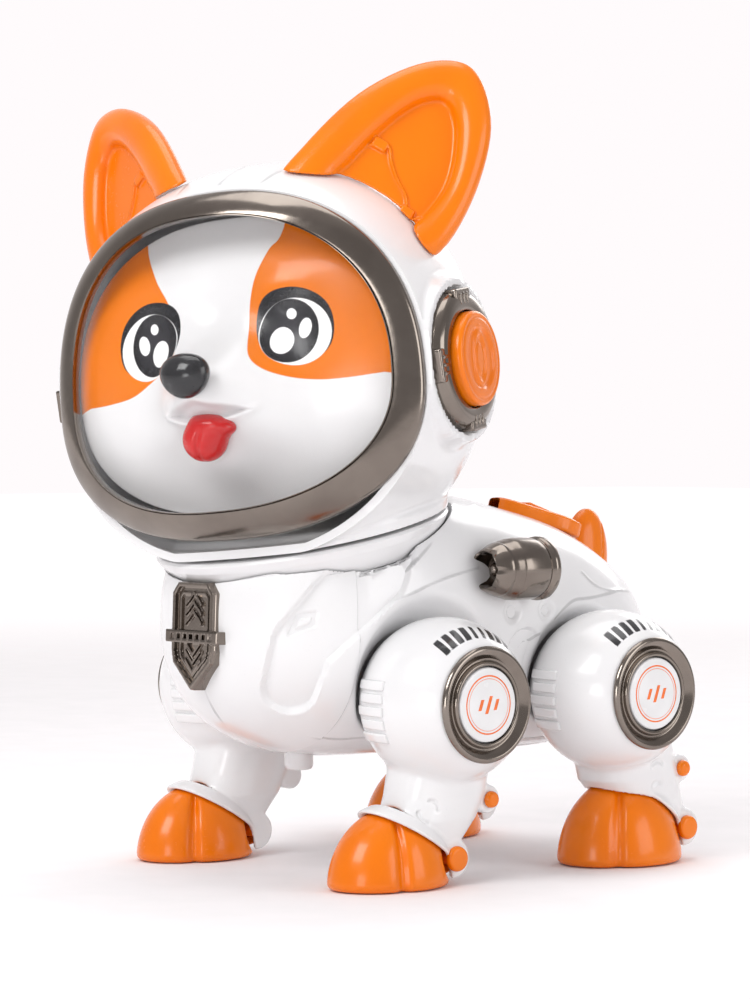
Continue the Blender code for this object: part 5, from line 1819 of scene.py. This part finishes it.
class Studio:
    """A pale floor, soft lights and the camera."""

    EYE = (0.7459, -0.6271, 0.1209)
    LOOK = (-0.7637, 0.6454, -0.0168)
    LENS = 121.57

    def __init__(self, palette: Palette) -> None:
        """Sets up everything.

        Args:
            palette: the toy's finishes.
        """
        self.scene = bpy.context.scene
        self.floor(palette)
        self.world()
        right = Vector((0.6455, 0.7638, 0.0))
        back = -Vector(self.LOOK)
        middle = Vector((0.0, 0.0, 0.11))
        for name, side, up, out, size, power in (
                ("key", -0.62, 0.75, 0.75, 0.55, 7.4), ("fill", 0.95, 0.25, 0.5, 0.6, 3.0),
                ("crown", -0.05, 1.1, -0.15, 0.8, 4.4), ("kicker", 0.5, 0.5, -0.9, 0.5, 2.0),
                ("low", -0.35, -0.02, 0.95, 0.3, 1.3)):
            self.light(name, middle + right * side + back * out + Vector((0, 0, up)), middle, size, power)
        self.camera()

    def floor(self, palette: Palette) -> None:
        """A plain pale floor."""
        mesh = bpy.data.meshes.new("studio_floor")
        mesh.from_pydata([(-6, -6, -0.0002), (6, -6, -0.0002), (6, 6, -0.0002), (-6, 6, -0.0002)], [],
                         [(0, 1, 2, 3)])
        mesh.materials.append(palette.floor)
        made = bpy.data.objects.new("studio_floor", mesh)
        self.scene.collection.objects.link(made)

    def world(self) -> None:
        """A pale sky, brightest behind the toy and overhead."""
        world = bpy.data.worlds.new("studio")
        world.use_nodes = True
        self.scene.world = world
        nodes, links = world.node_tree.nodes, world.node_tree.links
        where = nodes.new("ShaderNodeTexCoord")
        levels = []
        for direction, *limits in ((self.LOOK, 0.35, 0.93, 0.42, 1.0), ((0, 0, 1), 0.3, 1.0, 0.0, 0.6)):
            along = nodes.new("ShaderNodeVectorMath")
            along.operation = "DOT_PRODUCT"
            along.inputs[1].default_value = direction
            ramp = nodes.new("ShaderNodeMapRange")
            ramp.interpolation_type = "SMOOTHSTEP"
            for socket, value in zip(("From Min", "From Max", "To Min", "To Max"), limits):
                ramp.inputs[socket].default_value = value
            links.new(where.outputs["Generated"], along.inputs[0])
            links.new(along.outputs["Value"], ramp.inputs["Value"])
            levels.append(ramp.outputs["Result"])
        most = nodes.new("ShaderNodeMath")
        most.operation = "MAXIMUM"
        for level, socket in zip(levels, most.inputs):
            links.new(level, socket)
        background = nodes["Background"]
        background.inputs["Color"].default_value = (1.0, 0.965, 0.975, 1.0)
        links.new(most.outputs["Value"], background.inputs["Strength"])
        self.scene.view_settings.view_transform = "Standard"

    def light(self, name: str, at: Vector, target: Vector, size: float, power: float) -> None:
        """Hangs a square soft box facing a target."""
        data = bpy.data.lights.new(name, "AREA")
        data.size = size
        data.energy = power
        made = bpy.data.objects.new(name, data)
        made.location = at
        made.rotation_euler = (target - at).to_track_quat("-Z", "Y").to_euler()
        self.scene.collection.objects.link(made)

    def camera(self) -> None:
        """The camera at the dog's front left."""
        data = bpy.data.cameras.new("camera")
        data.sensor_fit = "VERTICAL"
        data.sensor_height = 36.0
        data.lens = self.LENS
        data.clip_start = 0.01
        made = bpy.data.objects.new("camera", data)
        made.location = self.EYE
        made.rotation_euler = Vector(self.LOOK).to_track_quat("-Z", "Y").to_euler()
        self.scene.collection.objects.link(made)
        self.scene.camera = made


def dress_inner_nodes(palette: Palette) -> None:
    """Gives the nodes that keep their own shapes their finishes."""
    kinds = {palette.acetal: ("neck_post", "gear_frame", "idler_gear", "crankshaft"),
             palette.case: ("battery_box", "speaker"), palette.board: ("circuit_board",),
             palette.steel: ("drive_motor", "motor_pinion"),
             palette.cell: ("battery_cell_1", "battery_cell_2", "battery_cell_3")}
    for material, names in kinds.items():
        for name in names:
            data = frame["nodes"][name].data
            data.materials.clear()
            data.materials.append(material)


def main() -> None:
    """Builds the whole toy and its studio."""
    palette = Palette()
    Torso(palette).build()
    for tag in TAGS:
        Leg(tag, palette).build()
    Helmet(palette).build()
    Face(palette).build()
    Fittings(palette).build()
    dress_inner_nodes(palette)
    Studio(palette)


if __name__ == "__main__":
    logging.basicConfig(level=logging.INFO, format="%(message)s")
    main()
